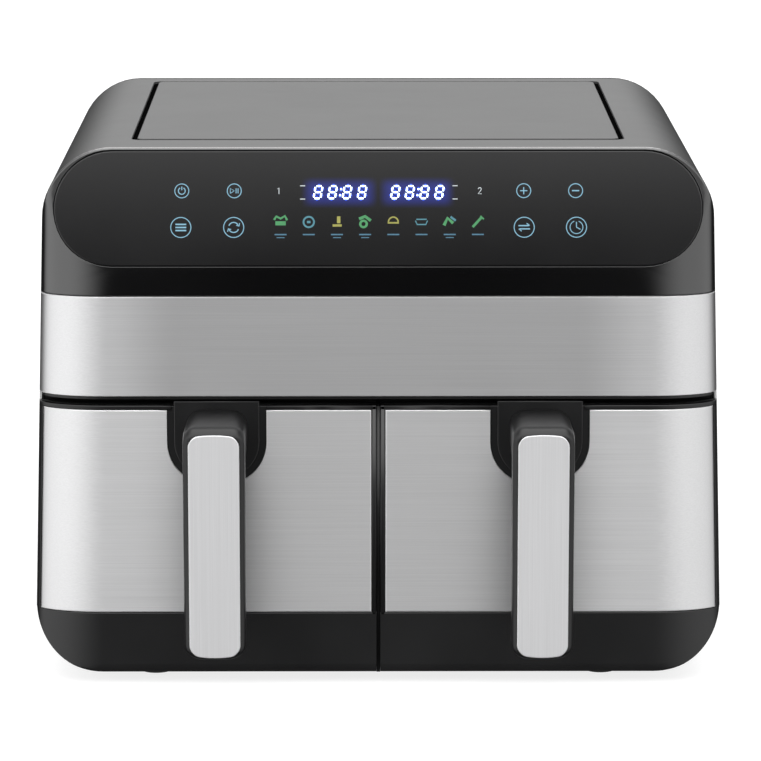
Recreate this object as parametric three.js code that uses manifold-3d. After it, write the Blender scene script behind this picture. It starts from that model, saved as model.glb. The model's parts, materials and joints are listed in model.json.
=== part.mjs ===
// Dual-drawer air fryer, built as separate pieces.
// Millimetres, +Z up, the front faces -Y, +X is the right-hand drawer.
import * as THREE from 'three';
import { mergeVertices } from 'three/addons/utils/BufferGeometryUtils.js';
import Module from 'manifold-3d';

const wasm = await Module();
wasm.setup();

// ---------------------------------------------------------------- driving dimensions
const BASE_WIDTH = 389.6;        // body width at its bottom
const TOP_NARROWING = 16.8;      // how much less it is at its top
const BODY_HEIGHT = 295.6;       // body without its feet
const BODY_DEPTH = 340.0;        // body without its handles
const FOOT_HEIGHT = 7.0;
const HANDLE_REACH = 52.0;       // how far the handles stand in front of the body
const CORNER_RADIUS = 39.5;      // the four corners of the front outline
const PLAN_CORNER_X = 40.0;      // front corners seen from above: a quarter ellipse
const PLAN_CORNER_Y = 19.0;
const GAP = 0.3;                 // clearance between pieces that are joined
const SLIDE_GAP = 2.0;           // clearance round pieces that slide
const RUN_GAP = 0.1;             // clearance of a shaft that turns in its bore
const WALL = 2.5;                // outer housing wall
const SHEET = 1.2;               // sheet-metal pieces

const FASCIA_HEIGHT = 80.6;      // gloss fascia, down from the top
const BAND_HEIGHT = 56.6;        // steel band under the fascia
const FRAME_LIP = 1.8;           // black frame showing under the band
const SEAM = 2.7;                // open seam between that lip and the drawers
const FASCIA_WALL = 5.5;
const PANEL_LEAN = 15.3;         // degrees the control panel leans back
const PANEL_END = 14.8;          // fascia left beyond each end of the panel
const PANEL_HEIGHT = 64.4;
const PANEL_THICK = 2.2;
const PANEL_START = 17.0;        // facet edge above the bottom of the fascia
const BOARD_THICK = 1.6;         // circuit boards
const DISPLAY_WIDTH = 36.0;
const DISPLAY_DEPTH = 9.0;
const DISPLAY_SPACING = 43.0;

const DRAWER_GAP = 2.2;          // between the two drawer fronts
const FRAME_EDGE = 2.6;          // black edge left round the steel skins
const CHIN_HEIGHT = 34.6;        // black lower part of the drawer fronts
const SKIN = 1.0;                // steel skins and inlays
const DRAWER_WALL = 4.0;
const TUB_SIDE = 20.8;           // tub to the widest part of the body's side
const TUB_BACK = 50.0;           // tub to the back of the body
const TUB_BELOW_TOP = 5.0;       // tub rim under the top of the drawer front
const TUB_RADIUS = 22.0;
const TUB_WALL = 1.6;
const TUB_FROM_MIDDLE = 12.0;    // tub side nearest the middle plane

const HANDLE_WIDTH = 34.0;
const GRIP_THICK = 17.0;
const GRIP_BOTTOM = 19.2;        // free end above the bottom of the body
const GRIP_TOP = 150.8;
const ARM_HEIGHT = 25.0;
const INLAY_WIDTH = 28.0;
const RECESS_WIDTH = 55.0;
const RECESS_HEIGHT = 41.0;
const LUG_WIDTH = 47.5;
const LUG_POCKET = 3.4;          // depth of the recess the lug sits in

const PLATE_RISE = 11.0;         // crisper plate above the tub floor
const PLATE_RIM = 6.0;
const PLATE_SHEET = 1.5;
const PLATE_HOLE = 7.0;
const PLATE_INSET = 4.6;         // plate's edge inside the outside of the tub
const SHAFT_RADIUS = 4.0;
const HEATER_ROD = 3.4;
const MOTOR_RADIUS = 31.0;
const MOTOR_HEIGHT = 34.0;
const FOOT_RADIUS = 11.0;
const FOOT_SPIGOT = 8.0;          // stud that pushes into the base pan
const TOP_PLATE_SIDE = 58.7;     // top plate to the widest part of the body's side
const TOP_PLATE_BACK = 18.6;
const TOP_PLATE_SETBACK = 57.0;
const TOP_GROOVE = 2.8;          // dark groove round the top plate

// ---------------------------------------------------------------- derived levels
const FRONT_Y = HANDLE_REACH - (BODY_DEPTH + HANDLE_REACH) / 2;
const BACK_Y = FRONT_Y + BODY_DEPTH;
const BASE_Z = FOOT_HEIGHT;
const TOP_Z = BASE_Z + BODY_HEIGHT;
const FASCIA_Z = TOP_Z - FASCIA_HEIGHT;
const BAND_Z = FASCIA_Z - BAND_HEIGHT;
const DRAWER_TOP_Z = BAND_Z - FRAME_LIP - SEAM;
const CHIN_Z = BASE_Z + CHIN_HEIGHT;
const SHELL_Y = FRONT_Y + PLAN_CORNER_Y + 0.5;
const FRAME_Y = SHELL_Y + 1.0;
const FRAME_THICK = 4.0;
const CHAMBER_Y = FRAME_Y + FRAME_THICK + GAP;
const PAN_Z = BASE_Z + 17.7;
const REAR_THICK = 3.0;
const REAR_Y = BACK_Y - REAR_THICK;
const TOP_WIDTH = BASE_WIDTH - TOP_NARROWING;
const TUB_LIFT = CORNER_RADIUS * 0.43;
const TUB_Z = BASE_Z + TUB_LIFT;
const TUB_WIDTH = BASE_WIDTH / 2 - TUB_SIDE - TUB_FROM_MIDDLE;
const TUB_DEPTH = BODY_DEPTH - PLAN_CORNER_Y - 0.5 - TUB_BACK - 0.5;
const TUB_HEIGHT = DRAWER_TOP_Z - TUB_BELOW_TOP - TUB_Z;
const PANEL_LENGTH = BASE_WIDTH - 2 * PANEL_END;
const TOP_PLATE_WIDTH = BASE_WIDTH - 2 * TOP_PLATE_SIDE;
const TOP_PLATE_DEPTH = BODY_DEPTH - TOP_PLATE_SETBACK - TOP_PLATE_BACK;
const FAN_RADIUS = TUB_WIDTH * 0.32;
const HEATER_RADIUS = TUB_WIDTH * 0.38;
const GUARD_RADIUS = TUB_WIDTH * 0.47;
const HANDLE_MIDDLE = BASE_WIDTH * 0.2318;
const TUB_TOP_Z = TUB_Z + TUB_HEIGHT;
const TUB_MIDDLE = TUB_FROM_MIDDLE + TUB_WIDTH / 2;
const CHAMBER_SIDE = SLIDE_GAP + SHEET;
const CHAMBER_TOP_Z = TUB_TOP_Z + 49.0;
const CHAMBER_BACK_Y = SHELL_Y + TUB_DEPTH + 12.0;
const FAN_Y = SHELL_Y + TUB_DEPTH / 2;
const FAN_Z = CHAMBER_TOP_Z - 25.0;
const SHROUD_TOP_Z = CHAMBER_TOP_Z + 20.0;
const MOTOR_Z = SHROUD_TOP_Z + GAP;
const CRISPER_Z = TUB_Z + TUB_WALL + PLATE_RISE;
const INLET_X = BASE_WIDTH / 2 - 75;
const INLET_Z = BASE_Z + 46;
const INLET_RADIUS = 9;
const REAR_SCREW_RADIUS = 2;
const REAR_SCREW_HEAD = 4;
const LEAN = THREE.MathUtils.degToRad(PANEL_LEAN);
const BIG = 1000;

// ---------------------------------------------------------------- materials
function matte(color, roughness = 0.6) {
  return new THREE.MeshStandardMaterial({ color, roughness, metalness: 0 });
}

function metal(color, roughness = 0.35) {
  return new THREE.MeshStandardMaterial({ color, roughness, metalness: 1 });
}

// ---------------------------------------------------------------- solids from three.js shapes
function solidFrom(geometry) {
  const bare = new THREE.BufferGeometry();
  bare.setAttribute('position', geometry.getAttribute('position').clone());
  if (geometry.index) bare.setIndex(geometry.index.clone());
  const joined = mergeVertices(bare, 1e-4);
  const source = joined.index.array;
  const kept = [];
  for (let i = 0; i < source.length; i += 3) {
    const [a, b, c] = [source[i], source[i + 1], source[i + 2]];
    if (a !== b && b !== c && c !== a) kept.push(a, b, c);
  }
  return new wasm.Manifold(new wasm.Mesh({
    numProp: 3,
    vertProperties: new Float32Array(joined.getAttribute('position').array),
    triVerts: new Uint32Array(kept),
  }));
}

function geometryFrom(solid) {
  const mesh = solid.getMesh();
  const indexed = new THREE.BufferGeometry();
  indexed.setAttribute('position', new THREE.BufferAttribute(mesh.vertProperties, 3));
  indexed.setIndex(new THREE.BufferAttribute(mesh.triVerts, 1));
  const geometry = indexed.toNonIndexed();
  geometry.computeVertexNormals();
  return geometry;
}

function piece(name, solid, material) {
  const mesh = new THREE.Mesh(geometryFrom(solid), material);
  mesh.name = name;
  return mesh;
}

function box(x0, x1, y0, y1, z0, z1) {
  const geometry = new THREE.BoxGeometry(Math.abs(x1 - x0), y1 - y0, z1 - z0);
  geometry.translate((x0 + x1) / 2, (y0 + y1) / 2, (z0 + z1) / 2);
  return solidFrom(geometry);
}

// A shape drawn in X and Z, pushed through from y0 to y1.
function prismY(shape, y0, y1, curveSegments = 8) {
  const geometry = new THREE.ExtrudeGeometry(shape, { depth: y1 - y0, bevelEnabled: false, curveSegments });
  geometry.rotateX(Math.PI / 2);
  geometry.translate(0, y1, 0);
  return solidFrom(geometry);
}

// A shape drawn in X and Y, pushed up from z0 to z1.
function prismZ(shape, z0, z1, curveSegments = 8) {
  const geometry = new THREE.ExtrudeGeometry(shape, { depth: z1 - z0, bevelEnabled: false, curveSegments });
  geometry.translate(0, 0, z0);
  return solidFrom(geometry);
}

// A shape drawn in Y and Z, pushed through from x0 to x1.
function prismX(shape, x0, x1, curveSegments = 8) {
  const geometry = new THREE.ExtrudeGeometry(shape, { depth: x1 - x0, bevelEnabled: false, curveSegments });
  geometry.rotateY(Math.PI / 2);
  geometry.rotateX(Math.PI / 2);
  geometry.translate(x0, 0, 0);
  return solidFrom(geometry);
}

function rodZ(radius, x, y, z0, z1, segments = 20) {
  const geometry = new THREE.CylinderGeometry(radius, radius, z1 - z0, segments);
  geometry.rotateX(Math.PI / 2);
  geometry.translate(x, y, (z0 + z1) / 2);
  return solidFrom(geometry);
}

function rodY(radius, x, y0, y1, z, segments = 20) {
  const geometry = new THREE.CylinderGeometry(radius, radius, y1 - y0, segments);
  geometry.translate(x, (y0 + y1) / 2, z);
  return solidFrom(geometry);
}

function turnedZ(profile, x, y, segments = 32) {
  const points = profile.map(([radius, height]) => new THREE.Vector2(radius, height));
  const geometry = new THREE.LatheGeometry(points, segments);
  geometry.rotateX(Math.PI / 2);
  geometry.translate(x, y, 0);
  return solidFrom(geometry);
}

function roundedRect(x0, x1, y0, y1, radius) {
  const shape = new THREE.Shape();
  shape.moveTo(x0 + radius, y0);
  shape.lineTo(x1 - radius, y0);
  shape.absarc(x1 - radius, y0 + radius, radius, -Math.PI / 2, 0, false);
  shape.lineTo(x1, y1 - radius);
  shape.absarc(x1 - radius, y1 - radius, radius, 0, Math.PI / 2, false);
  shape.lineTo(x0 + radius, y1);
  shape.absarc(x0 + radius, y1 - radius, radius, Math.PI / 2, Math.PI, false);
  shape.lineTo(x0, y0 + radius);
  shape.absarc(x0 + radius, y0 + radius, radius, Math.PI, Math.PI * 1.5, false);
  return shape;
}

function union(solids) {
  return solids.reduce((whole, solid) => whole.add(solid));
}

// ---------------------------------------------------------------- the body's outer form
// The front outline is a rounded rectangle that narrows a little towards the top.
function widthShare(z) {
  return 1 - (1 - TOP_WIDTH / BASE_WIDTH) * (z - BASE_Z) / BODY_HEIGHT;
}

function narrowed(solid) {
  const mesh = solid.getMesh();
  const positions = new Float32Array(mesh.vertProperties);
  for (let i = 0; i < positions.length; i += 3) positions[i] *= widthShare(positions[i + 2]);
  return new wasm.Manifold(new wasm.Mesh({
    numProp: 3,
    vertProperties: positions,
    triVerts: new Uint32Array(mesh.triVerts),
  }));
}

function planShape(inset) {
  const half = BASE_WIDTH / 2 - inset;
  const alongX = PLAN_CORNER_X - inset;
  const alongY = PLAN_CORNER_Y - inset;
  const front = FRONT_Y + inset;
  const shape = new THREE.Shape();
  shape.moveTo(-half, BACK_Y);
  shape.lineTo(-half, front + alongY);
  shape.absellipse(-half + alongX, front + alongY, alongX, alongY, Math.PI, Math.PI * 1.5, false, 0);
  shape.lineTo(half - alongX, front);
  shape.absellipse(half - alongX, front + alongY, alongX, alongY, Math.PI * 1.5, Math.PI * 2, false, 0);
  shape.lineTo(half, BACK_Y);
  return shape;
}

const bodies = new Map();

// The whole body shrunk by the same amount all round.
function body(inset) {
  if (!bodies.has(inset)) {
    const half = BASE_WIDTH / 2 - inset;
    const outline = roundedRect(-half, half, BASE_Z + inset, TOP_Z - inset, CORNER_RADIUS - inset);
    const along = prismY(outline, FRONT_Y, BACK_Y, 6);
    const upright = prismZ(planShape(inset), BASE_Z, TOP_Z, 5);
    bodies.set(inset, narrowed(along.intersect(upright)));
  }
  return bodies.get(inset);
}

// The part of the body between two depths and two heights.
function bodySlice(inset, y0, y1, z0, z1) {
  return body(inset).intersect(box(-BIG, BIG, y0, y1, z0, z1));
}

// Moves a solid drawn on the panel's own plane (X, Z up the facet, Y into the body) into place.
function onPanel(solid) {
  const mesh = solid.getMesh();
  const geometry = new THREE.BufferGeometry();
  geometry.setAttribute('position', new THREE.BufferAttribute(mesh.vertProperties, 3));
  geometry.setIndex(new THREE.BufferAttribute(mesh.triVerts, 1));
  geometry.rotateX(-LEAN);
  geometry.translate(0, FRONT_Y, FASCIA_Z + PANEL_START);
  return solidFrom(geometry);
}

function inFrontOfPanel(depth) {
  return onPanel(box(-BIG / 2, BIG / 2, -100, depth, -60, 160));
}

// ---------------------------------------------------------------- housing
function topPlateShape(spread) {
  const half = TOP_PLATE_WIDTH / 2 + spread;
  const y0 = FRONT_Y + TOP_PLATE_SETBACK;
  return roundedRect(-half, half, y0 - spread, y0 + TOP_PLATE_DEPTH + spread, 6 + spread);
}

function outerHousing() {
  const outer = bodySlice(0, SHELL_Y, REAR_Y - GAP, PAN_Z + GAP, TOP_Z);
  const opening = prismZ(topPlateShape(TOP_GROOVE), TOP_Z - WALL - 1, TOP_Z + 1, 4);
  return outer.subtract(body(WALL)).subtract(opening);
}

function topPlate() {
  const flangeThick = 1;
  const flangeReach = 5;
  const below = TOP_Z - WALL - GAP;
  const raised = prismZ(topPlateShape(0), below - flangeThick, TOP_Z - 0.4, 4);
  const flange = prismZ(topPlateShape(TOP_GROOVE + flangeReach), below - 2 * flangeThick, below, 4);
  return raised.add(flange);
}

function frontFascia() {
  const outer = bodySlice(0, FRONT_Y, SHELL_Y - GAP, FASCIA_Z, TOP_Z).subtract(inFrontOfPanel(0));
  const inner = bodySlice(FASCIA_WALL, FRONT_Y, SHELL_Y, FASCIA_Z + FASCIA_WALL, TOP_Z - FASCIA_WALL);
  const behindPocket = PANEL_THICK + 2.6;
  const hollow = inner.subtract(inFrontOfPanel(behindPocket));
  const pocket = onPanel(prismY(panelShape(GAP), -20, PANEL_THICK + GAP, 9));
  const half = PANEL_LENGTH / 2 - PANEL_HEIGHT * 0.78;
  const window = onPanel(box(-half, half, -20, 40, PANEL_HEIGHT * 0.19, PANEL_HEIGHT * 0.8));
  return outer.subtract(hollow).subtract(pocket).subtract(window);
}

function panelShape(spread) {
  const half = PANEL_LENGTH / 2 + spread;
  return roundedRect(-half, half, -spread, PANEL_HEIGHT + spread, PANEL_HEIGHT / 2 + spread - 0.01);
}

function controlPanel() {
  return onPanel(prismY(panelShape(0), 0, PANEL_THICK, 9));
}

function controlBoard() {
  const front = PANEL_THICK + 12;
  const back = front + BOARD_THICK;
  const half = PANEL_LENGTH / 3;
  const board = box(-half, half, front, back, PANEL_HEIGHT * 0.23, PANEL_HEIGHT * 0.73);
  const chip = box(-9, 9, back - 0.1, back + 3.4, PANEL_HEIGHT * 0.34, PANEL_HEIGHT * 0.62);
  const socket = box(60, 84, back - 0.1, back + 7.4, PANEL_HEIGHT * 0.37, PANEL_HEIGHT * 0.53);
  return onPanel(union([board, chip, socket]));
}

function display(side) {
  const front = PANEL_THICK + GAP;
  const middle = side * DISPLAY_SPACING / 2 + 1;
  return onPanel(box(middle - DISPLAY_WIDTH / 2, middle + DISPLAY_WIDTH / 2, front, front + DISPLAY_DEPTH,
    PANEL_HEIGHT * 0.54, PANEL_HEIGHT * 0.78));
}

function steelBand() {
  return bodySlice(0, FRONT_Y, SHELL_Y - GAP, BAND_Z, FASCIA_Z - GAP).subtract(body(SHEET));
}

// Black moulding behind the band, with the two drawer openings in its back plate.
function frontFrame() {
  const backing = SHEET + GAP;
  const thick = 3;
  const top = FASCIA_Z - GAP;
  const bottom = BAND_Z - FRAME_LIP;
  const shelf = bodySlice(backing, FRONT_Y, SHELL_Y - GAP, bottom, top);
  const neck = bodySlice(WALL + GAP, SHELL_Y - 3, FRAME_Y + 1, bottom, top);
  const hollow = bodySlice(backing + thick, FRONT_Y, FRAME_Y + FRAME_THICK + 1, BAND_Z + thick, top - thick);
  const plate = bodySlice(WALL + GAP, FRAME_Y, FRAME_Y + FRAME_THICK, BASE_Z + WALL + GAP, top);
  const openings = [-1, 1].map((side) => {
    const near = side * (TUB_FROM_MIDDLE - SLIDE_GAP);
    const far = side * (TUB_FROM_MIDDLE + TUB_WIDTH + SLIDE_GAP);
    return box(near, far, FRAME_Y - 1, FRAME_Y + FRAME_THICK + 1, TUB_Z - SLIDE_GAP, TUB_TOP_Z + SLIDE_GAP);
  });
  return shelf.add(neck).add(plate).subtract(hollow).subtract(union(openings));
}

function basePan() {
  const outer = bodySlice(0, SHELL_Y, REAR_Y - GAP, BASE_Z, PAN_Z);
  const feet = footPlaces().map(([x, y]) => rodZ(FOOT_SPIGOT + GAP, x, y, BASE_Z - 1, BASE_Z + WALL + 1));
  return outer.subtract(body(WALL)).subtract(union(feet)).subtract(union(baseVents()));
}

function baseVents() {
  const slots = [];
  const near = 40;
  const far = BASE_WIDTH / 2 - CORNER_RADIUS - 5;
  for (let i = -2; i <= 2; i += 1) {
    const y = FAN_Y + i * 20;
    slots.push(box(-far, -near, y, y + 6, BASE_Z - 1, BASE_Z + WALL + 1));
    slots.push(box(near, far, y, y + 6, BASE_Z - 1, BASE_Z + WALL + 1));
  }
  return slots;
}

function footPlaces() {
  const x = BASE_WIDTH / 2 - 68;
  const front = SHELL_Y + FOOT_RADIUS + 2;
  const back = BACK_Y - 34;
  return [[-x, front], [x, front], [-x, back], [x, back]];
}

function foot([x, y]) {
  const chamfer = 1;
  const top = BASE_Z - GAP;
  const profile = [[0, 0], [FOOT_RADIUS - chamfer, 0], [FOOT_RADIUS, chamfer], [FOOT_RADIUS, top], [0, top]];
  const pad = turnedZ(profile, x, y, 20);
  return pad.add(rodZ(FOOT_SPIGOT, x, y, BASE_Z - 1, BASE_Z + WALL));
}

function rearCover() {
  const plate = bodySlice(0, REAR_Y, BACK_Y, BASE_Z, TOP_Z);
  const outside = BACK_Y + 1;
  const near = 34;
  const far = BASE_WIDTH * 0.364;
  const slots = [];
  for (let i = 0; i < 7; i += 1) {
    const z = TOP_Z - 64 - i * 9;
    slots.push(box(-far, -near, REAR_Y - 1, outside, z, z + 4));
    slots.push(box(near, far, REAR_Y - 1, outside, z, z + 4));
  }
  const inletHole = rodY(INLET_RADIUS + GAP, INLET_X, REAR_Y - 1, outside, INLET_Z);
  const screws = rearScrewPlaces().map(([x, z]) => {
    const shank = rodY(REAR_SCREW_RADIUS + GAP, x, REAR_Y - 1, outside, z, 12);
    return shank.add(rodY(REAR_SCREW_HEAD + GAP, x, BACK_Y - 1.5 - GAP, outside, z, 12));
  });
  return plate.subtract(union(slots)).subtract(inletHole).subtract(union(screws));
}

function rearScrewPlaces() {
  const x = BASE_WIDTH / 2 - 30;
  return [[-x, BASE_Z + 60], [x, BASE_Z + 60]];
}

function rearScrew([x, z]) {
  const head = rodY(REAR_SCREW_HEAD, x, BACK_Y - 1.5, BACK_Y, z, 12);
  return head.add(rodY(REAR_SCREW_RADIUS, x, REAR_Y - 8, BACK_Y - 1, z, 12));
}

// Bushing the supply cord would pass through.
function cordInlet() {
  const barrel = rodY(INLET_RADIUS, INLET_X, REAR_Y - 10, BACK_Y - 0.2, INLET_Z);
  const collar = rodY(INLET_RADIUS + 3, INLET_X, REAR_Y - 4, REAR_Y - GAP, INLET_Z);
  const cordHole = rodY(4, INLET_X, REAR_Y - 20, BACK_Y + 5, INLET_Z, 16);
  return barrel.add(collar).subtract(cordHole);
}

function powerBoard() {
  const front = CHAMBER_BACK_Y + 10;
  const back = front + BOARD_THICK;
  const z = BASE_Z + 40;
  const board = box(-75, 75, front, back, z, z + 100);
  const relays = [-50, -20].map((x) => box(x, x + 20, back - 0.1, back + 13.4, z + 20, z + 36));
  const capacitor = rodY(9, 40, back - 0.1, back + 11.4, z + 30);
  const transformer = box(10, 48, back - 0.1, back + 12.4, z + 55, z + 88);
  return union([board, ...relays, capacitor, transformer]);
}

function drawerSwitch(side) {
  const top = TUB_TOP_Z - 22;
  const bulk = box(side * 1.2, side * 7, CHAMBER_Y, CHAMBER_Y + 18, top - 18, top);
  const lever = box(side * 3, side * 5, CHAMBER_Y + 4, CHAMBER_Y + 12, top - 1, top + 3);
  return bulk.add(lever);
}

// ---------------------------------------------------------------- cooking chambers
function chamber(side) {
  const near = side * (TUB_FROM_MIDDLE - CHAMBER_SIDE);
  const far = side * (TUB_FROM_MIDDLE + TUB_WIDTH + CHAMBER_SIDE);
  const x = side * TUB_MIDDLE;
  const x0 = Math.min(near, far);
  const x1 = Math.max(near, far);
  const z0 = TUB_Z - SLIDE_GAP - SHEET;
  const outer = box(x0, x1, CHAMBER_Y, CHAMBER_BACK_Y, z0, CHAMBER_TOP_Z);
  const inner = box(x0 + SHEET, x1 - SHEET, CHAMBER_Y - 1, CHAMBER_BACK_Y - SHEET, z0 + SHEET,
    CHAMBER_TOP_Z - SHEET);
  const shaftHole = rodZ(SHAFT_RADIUS + SLIDE_GAP, x, FAN_Y, CHAMBER_TOP_Z - 5, CHAMBER_TOP_Z + 5, 16);
  const exhaust = box(x - 35, x + 35, CHAMBER_BACK_Y - 5, CHAMBER_BACK_Y + 5, CHAMBER_TOP_Z - 30,
    CHAMBER_TOP_Z - 10);
  return outer.subtract(inner).subtract(shaftHole).subtract(exhaust);
}

// Bent heater rod: two loops and two tails that rise to the chamber's ceiling.
function heater(side) {
  const x = side * TUB_MIDDLE;
  const z = FAN_Z - 14;
  const path = [];
  path.push(new THREE.Vector3(x + HEATER_RADIUS * 0.98, FAN_Y - 12, CHAMBER_TOP_Z - SHEET - 2));
  const turns = 2;
  const steps = 24;
  for (let i = 0; i <= steps; i += 1) {
    const share = i / steps;
    const angle = share * turns * Math.PI * 2 * 0.96;
    const radius = HEATER_RADIUS * (1 - 0.39 * share);
    path.push(new THREE.Vector3(x + radius * Math.cos(angle), FAN_Y + radius * Math.sin(angle), z));
  }
  const section = new THREE.Shape();
  section.absarc(0, 0, HEATER_ROD, 0, Math.PI * 2, false);
  const curve = new THREE.CatmullRomCurve3(path, false, 'centripetal');
  const geometry = new THREE.ExtrudeGeometry(section, { steps: 60, curveSegments: 3, extrudePath: curve });
  return solidFrom(geometry);
}

// Flat ring with cross bars under the heater.
function heaterGuard(side) {
  const x = side * TUB_MIDDLE;
  const z0 = TUB_TOP_Z + 4;
  const z1 = z0 + 2;
  const ring = (radius) => turnedZ([[radius - 2, z0], [radius, z0], [radius, z1], [radius - 2, z1],
    [radius - 2, z0]], x, FAN_Y, 24);
  const across = box(x - GUARD_RADIUS, x + GUARD_RADIUS, FAN_Y - 1, FAN_Y + 1, z0, z1);
  const along = box(x - 1, x + 1, FAN_Y - GUARD_RADIUS, FAN_Y + GUARD_RADIUS, z0, z1);
  const ceiling = CHAMBER_TOP_Z - SHEET - GAP;
  const posts = [-1, 1].map((end) => rodZ(2, x + end * (GUARD_RADIUS - 2), FAN_Y, z0, ceiling, 8));
  return union([ring(GUARD_RADIUS - 4), ring(HEATER_RADIUS * 0.65), across, along, ...posts]);
}

function fanShroud(side) {
  const wall = 1.5;
  const radius = FAN_RADIUS + 16;
  const eye = MOTOR_RADIUS - 8;
  const z0 = CHAMBER_TOP_Z + GAP;
  const profile = [[eye, SHROUD_TOP_Z - wall], [radius - wall, SHROUD_TOP_Z - wall], [radius - wall, z0],
    [radius, z0], [radius, SHROUD_TOP_Z], [eye, SHROUD_TOP_Z], [eye, SHROUD_TOP_Z - wall]];
  const x = side * TUB_MIDDLE;
  const outlet = box(x - 30, x + 30, FAN_Y + 40, FAN_Y + 90, z0 + 3, SHROUD_TOP_Z - 3);
  return turnedZ(profile, x, FAN_Y, 32).subtract(outlet);
}

function motor(side) {
  const x = side * TUB_MIDDLE;
  const can = rodZ(MOTOR_RADIUS, x, FAN_Y, MOTOR_Z, MOTOR_Z + MOTOR_HEIGHT, 28);
  const stack = box(x - 36, x + 36, FAN_Y - 36, FAN_Y + 36, MOTOR_Z + 10, MOTOR_Z + 24);
  const bore = rodZ(SHAFT_RADIUS + RUN_GAP, x, FAN_Y, MOTOR_Z - 1, MOTOR_Z + MOTOR_HEIGHT + 1, 20);
  return can.add(stack).subtract(bore);
}

// ---------------------------------------------------------------- fans
function fanShaft(side) {
  return rodZ(SHAFT_RADIUS, side * TUB_MIDDLE, FAN_Y, FAN_Z - 3, MOTOR_Z + MOTOR_HEIGHT + 3, 20);
}

function bladedWheel(side, radius, z0, z1, count) {
  const x = side * TUB_MIDDLE;
  const hubRadius = 11;
  const plateThick = 1.4;
  const bladeThick = 1.6;
  const hub = rodZ(hubRadius, x, FAN_Y, z0, z1, 20);
  const plate = rodZ(radius, x, FAN_Y, z1 - plateThick, z1, 32);
  const blades = [];
  for (let i = 0; i < count; i += 1) {
    const length = radius - hubRadius + 1;
    const geometry = new THREE.BoxGeometry(length, bladeThick, z1 - z0 - 0.5);
    geometry.translate(hubRadius - 3 + length / 2, 0, (z0 + z1) / 2);
    geometry.rotateZ((i / count) * Math.PI * 2);
    geometry.translate(x, FAN_Y, 0);
    blades.push(solidFrom(geometry));
  }
  const bore = rodZ(SHAFT_RADIUS + GAP, x, FAN_Y, z0 - 1, z1 + 1, 20);
  return union([hub, plate, ...blades]).subtract(bore);
}

function impeller(side) {
  return bladedWheel(side, FAN_RADIUS, FAN_Z, FAN_Z + 16, 8);
}

function coolingFan(side) {
  return bladedWheel(side, FAN_RADIUS + 8, CHAMBER_TOP_Z + 4, CHAMBER_TOP_Z + 15, 7);
}

// ---------------------------------------------------------------- drawers
function recessShape(spread, side) {
  const half = RECESS_WIDTH / 2 + spread;
  const x = side * HANDLE_MIDDLE;
  const z0 = DRAWER_TOP_Z - RECESS_HEIGHT - spread;
  const radius = RECESS_WIDTH * 0.4;
  const shape = new THREE.Shape();
  shape.moveTo(x - half, DRAWER_TOP_Z + 10);
  shape.lineTo(x - half, z0 + radius);
  shape.absarc(x - half + radius, z0 + radius, radius, Math.PI, Math.PI * 1.5, false);
  shape.absarc(x + half - radius, z0 + radius, radius, Math.PI * 1.5, Math.PI * 2, false);
  shape.lineTo(x + half, DRAWER_TOP_Z + 10);
  return shape;
}

// Space a drawer front may fill, from the middle gap outwards.
function drawerSpace(side, from, z0, z1) {
  return box(side * from, side * BIG, FRONT_Y - 1, SHELL_Y - GAP, z0, z1);
}

function skinSpace(side, spread) {
  const outer = BASE_WIDTH / 2 * widthShare(DRAWER_TOP_Z) - FRAME_EDGE - 1.2;
  const near = DRAWER_GAP / 2 + FRAME_EDGE - spread;
  return box(side * near, side * (outer + spread), FRONT_Y - 1, SHELL_Y - GAP - 2, CHIN_Z - spread,
    DRAWER_TOP_Z - FRAME_EDGE + spread);
}

function drawerFront(side) {
  const inner = DRAWER_WALL + 2;
  const front = body(0).intersect(drawerSpace(side, DRAWER_GAP / 2, BASE_Z, DRAWER_TOP_Z));
  const hollow = body(inner).intersect(box(side * (DRAWER_GAP / 2 + DRAWER_WALL), side * BIG,
    FRONT_Y + inner, SHELL_Y, BASE_Z + inner, DRAWER_TOP_Z - DRAWER_WALL));
  const pocketEdge = DRAWER_TOP_Z - FRAME_EDGE;
  const lugPocket = prismY(recessShape(0, side), FRONT_Y - 1, FRONT_Y + LUG_POCKET, 6)
    .intersect(box(-BIG, BIG, FRONT_Y - 1, FRONT_Y + LUG_POCKET + 1, BASE_Z, pocketEdge));
  const backing = prismY(recessShape(4, side), FRONT_Y + LUG_POCKET - 0.4, SHELL_Y - GAP, 6).intersect(front);
  const skinPocket = skinSpace(side, GAP).subtract(body(SKIN + GAP));
  return front.subtract(hollow).add(backing).subtract(skinPocket).subtract(lugPocket);
}

function steelSkin(side) {
  const sheet = body(0).subtract(body(SKIN)).intersect(skinSpace(side, 0));
  return sheet.subtract(prismY(recessShape(GAP, side), FRONT_Y - 2, FRONT_Y + 8, 6));
}

// Plate in the recess that carries the handle's arm.
function handleLug(side) {
  const x = side * HANDLE_MIDDLE;
  const half = LUG_WIDTH / 2;
  const margin = (RECESS_WIDTH - LUG_WIDTH) / 2;
  const z0 = DRAWER_TOP_Z - RECESS_HEIGHT + margin;
  const z1 = DRAWER_TOP_Z - FRAME_EDGE - 1;
  const outline = roundedRect(x - half, x + half, z0, z1 + 30, LUG_WIDTH * 0.38);
  const plate = prismY(outline, FRONT_Y - 0.4, FRONT_Y + LUG_POCKET - GAP, 6);
  const trimmed = plate.intersect(box(-BIG, BIG, FRONT_Y - 5, FRONT_Y + 10, z0 - 1, z1));
  return trimmed.subtract(handleSolid(side, GAP));
}

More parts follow.
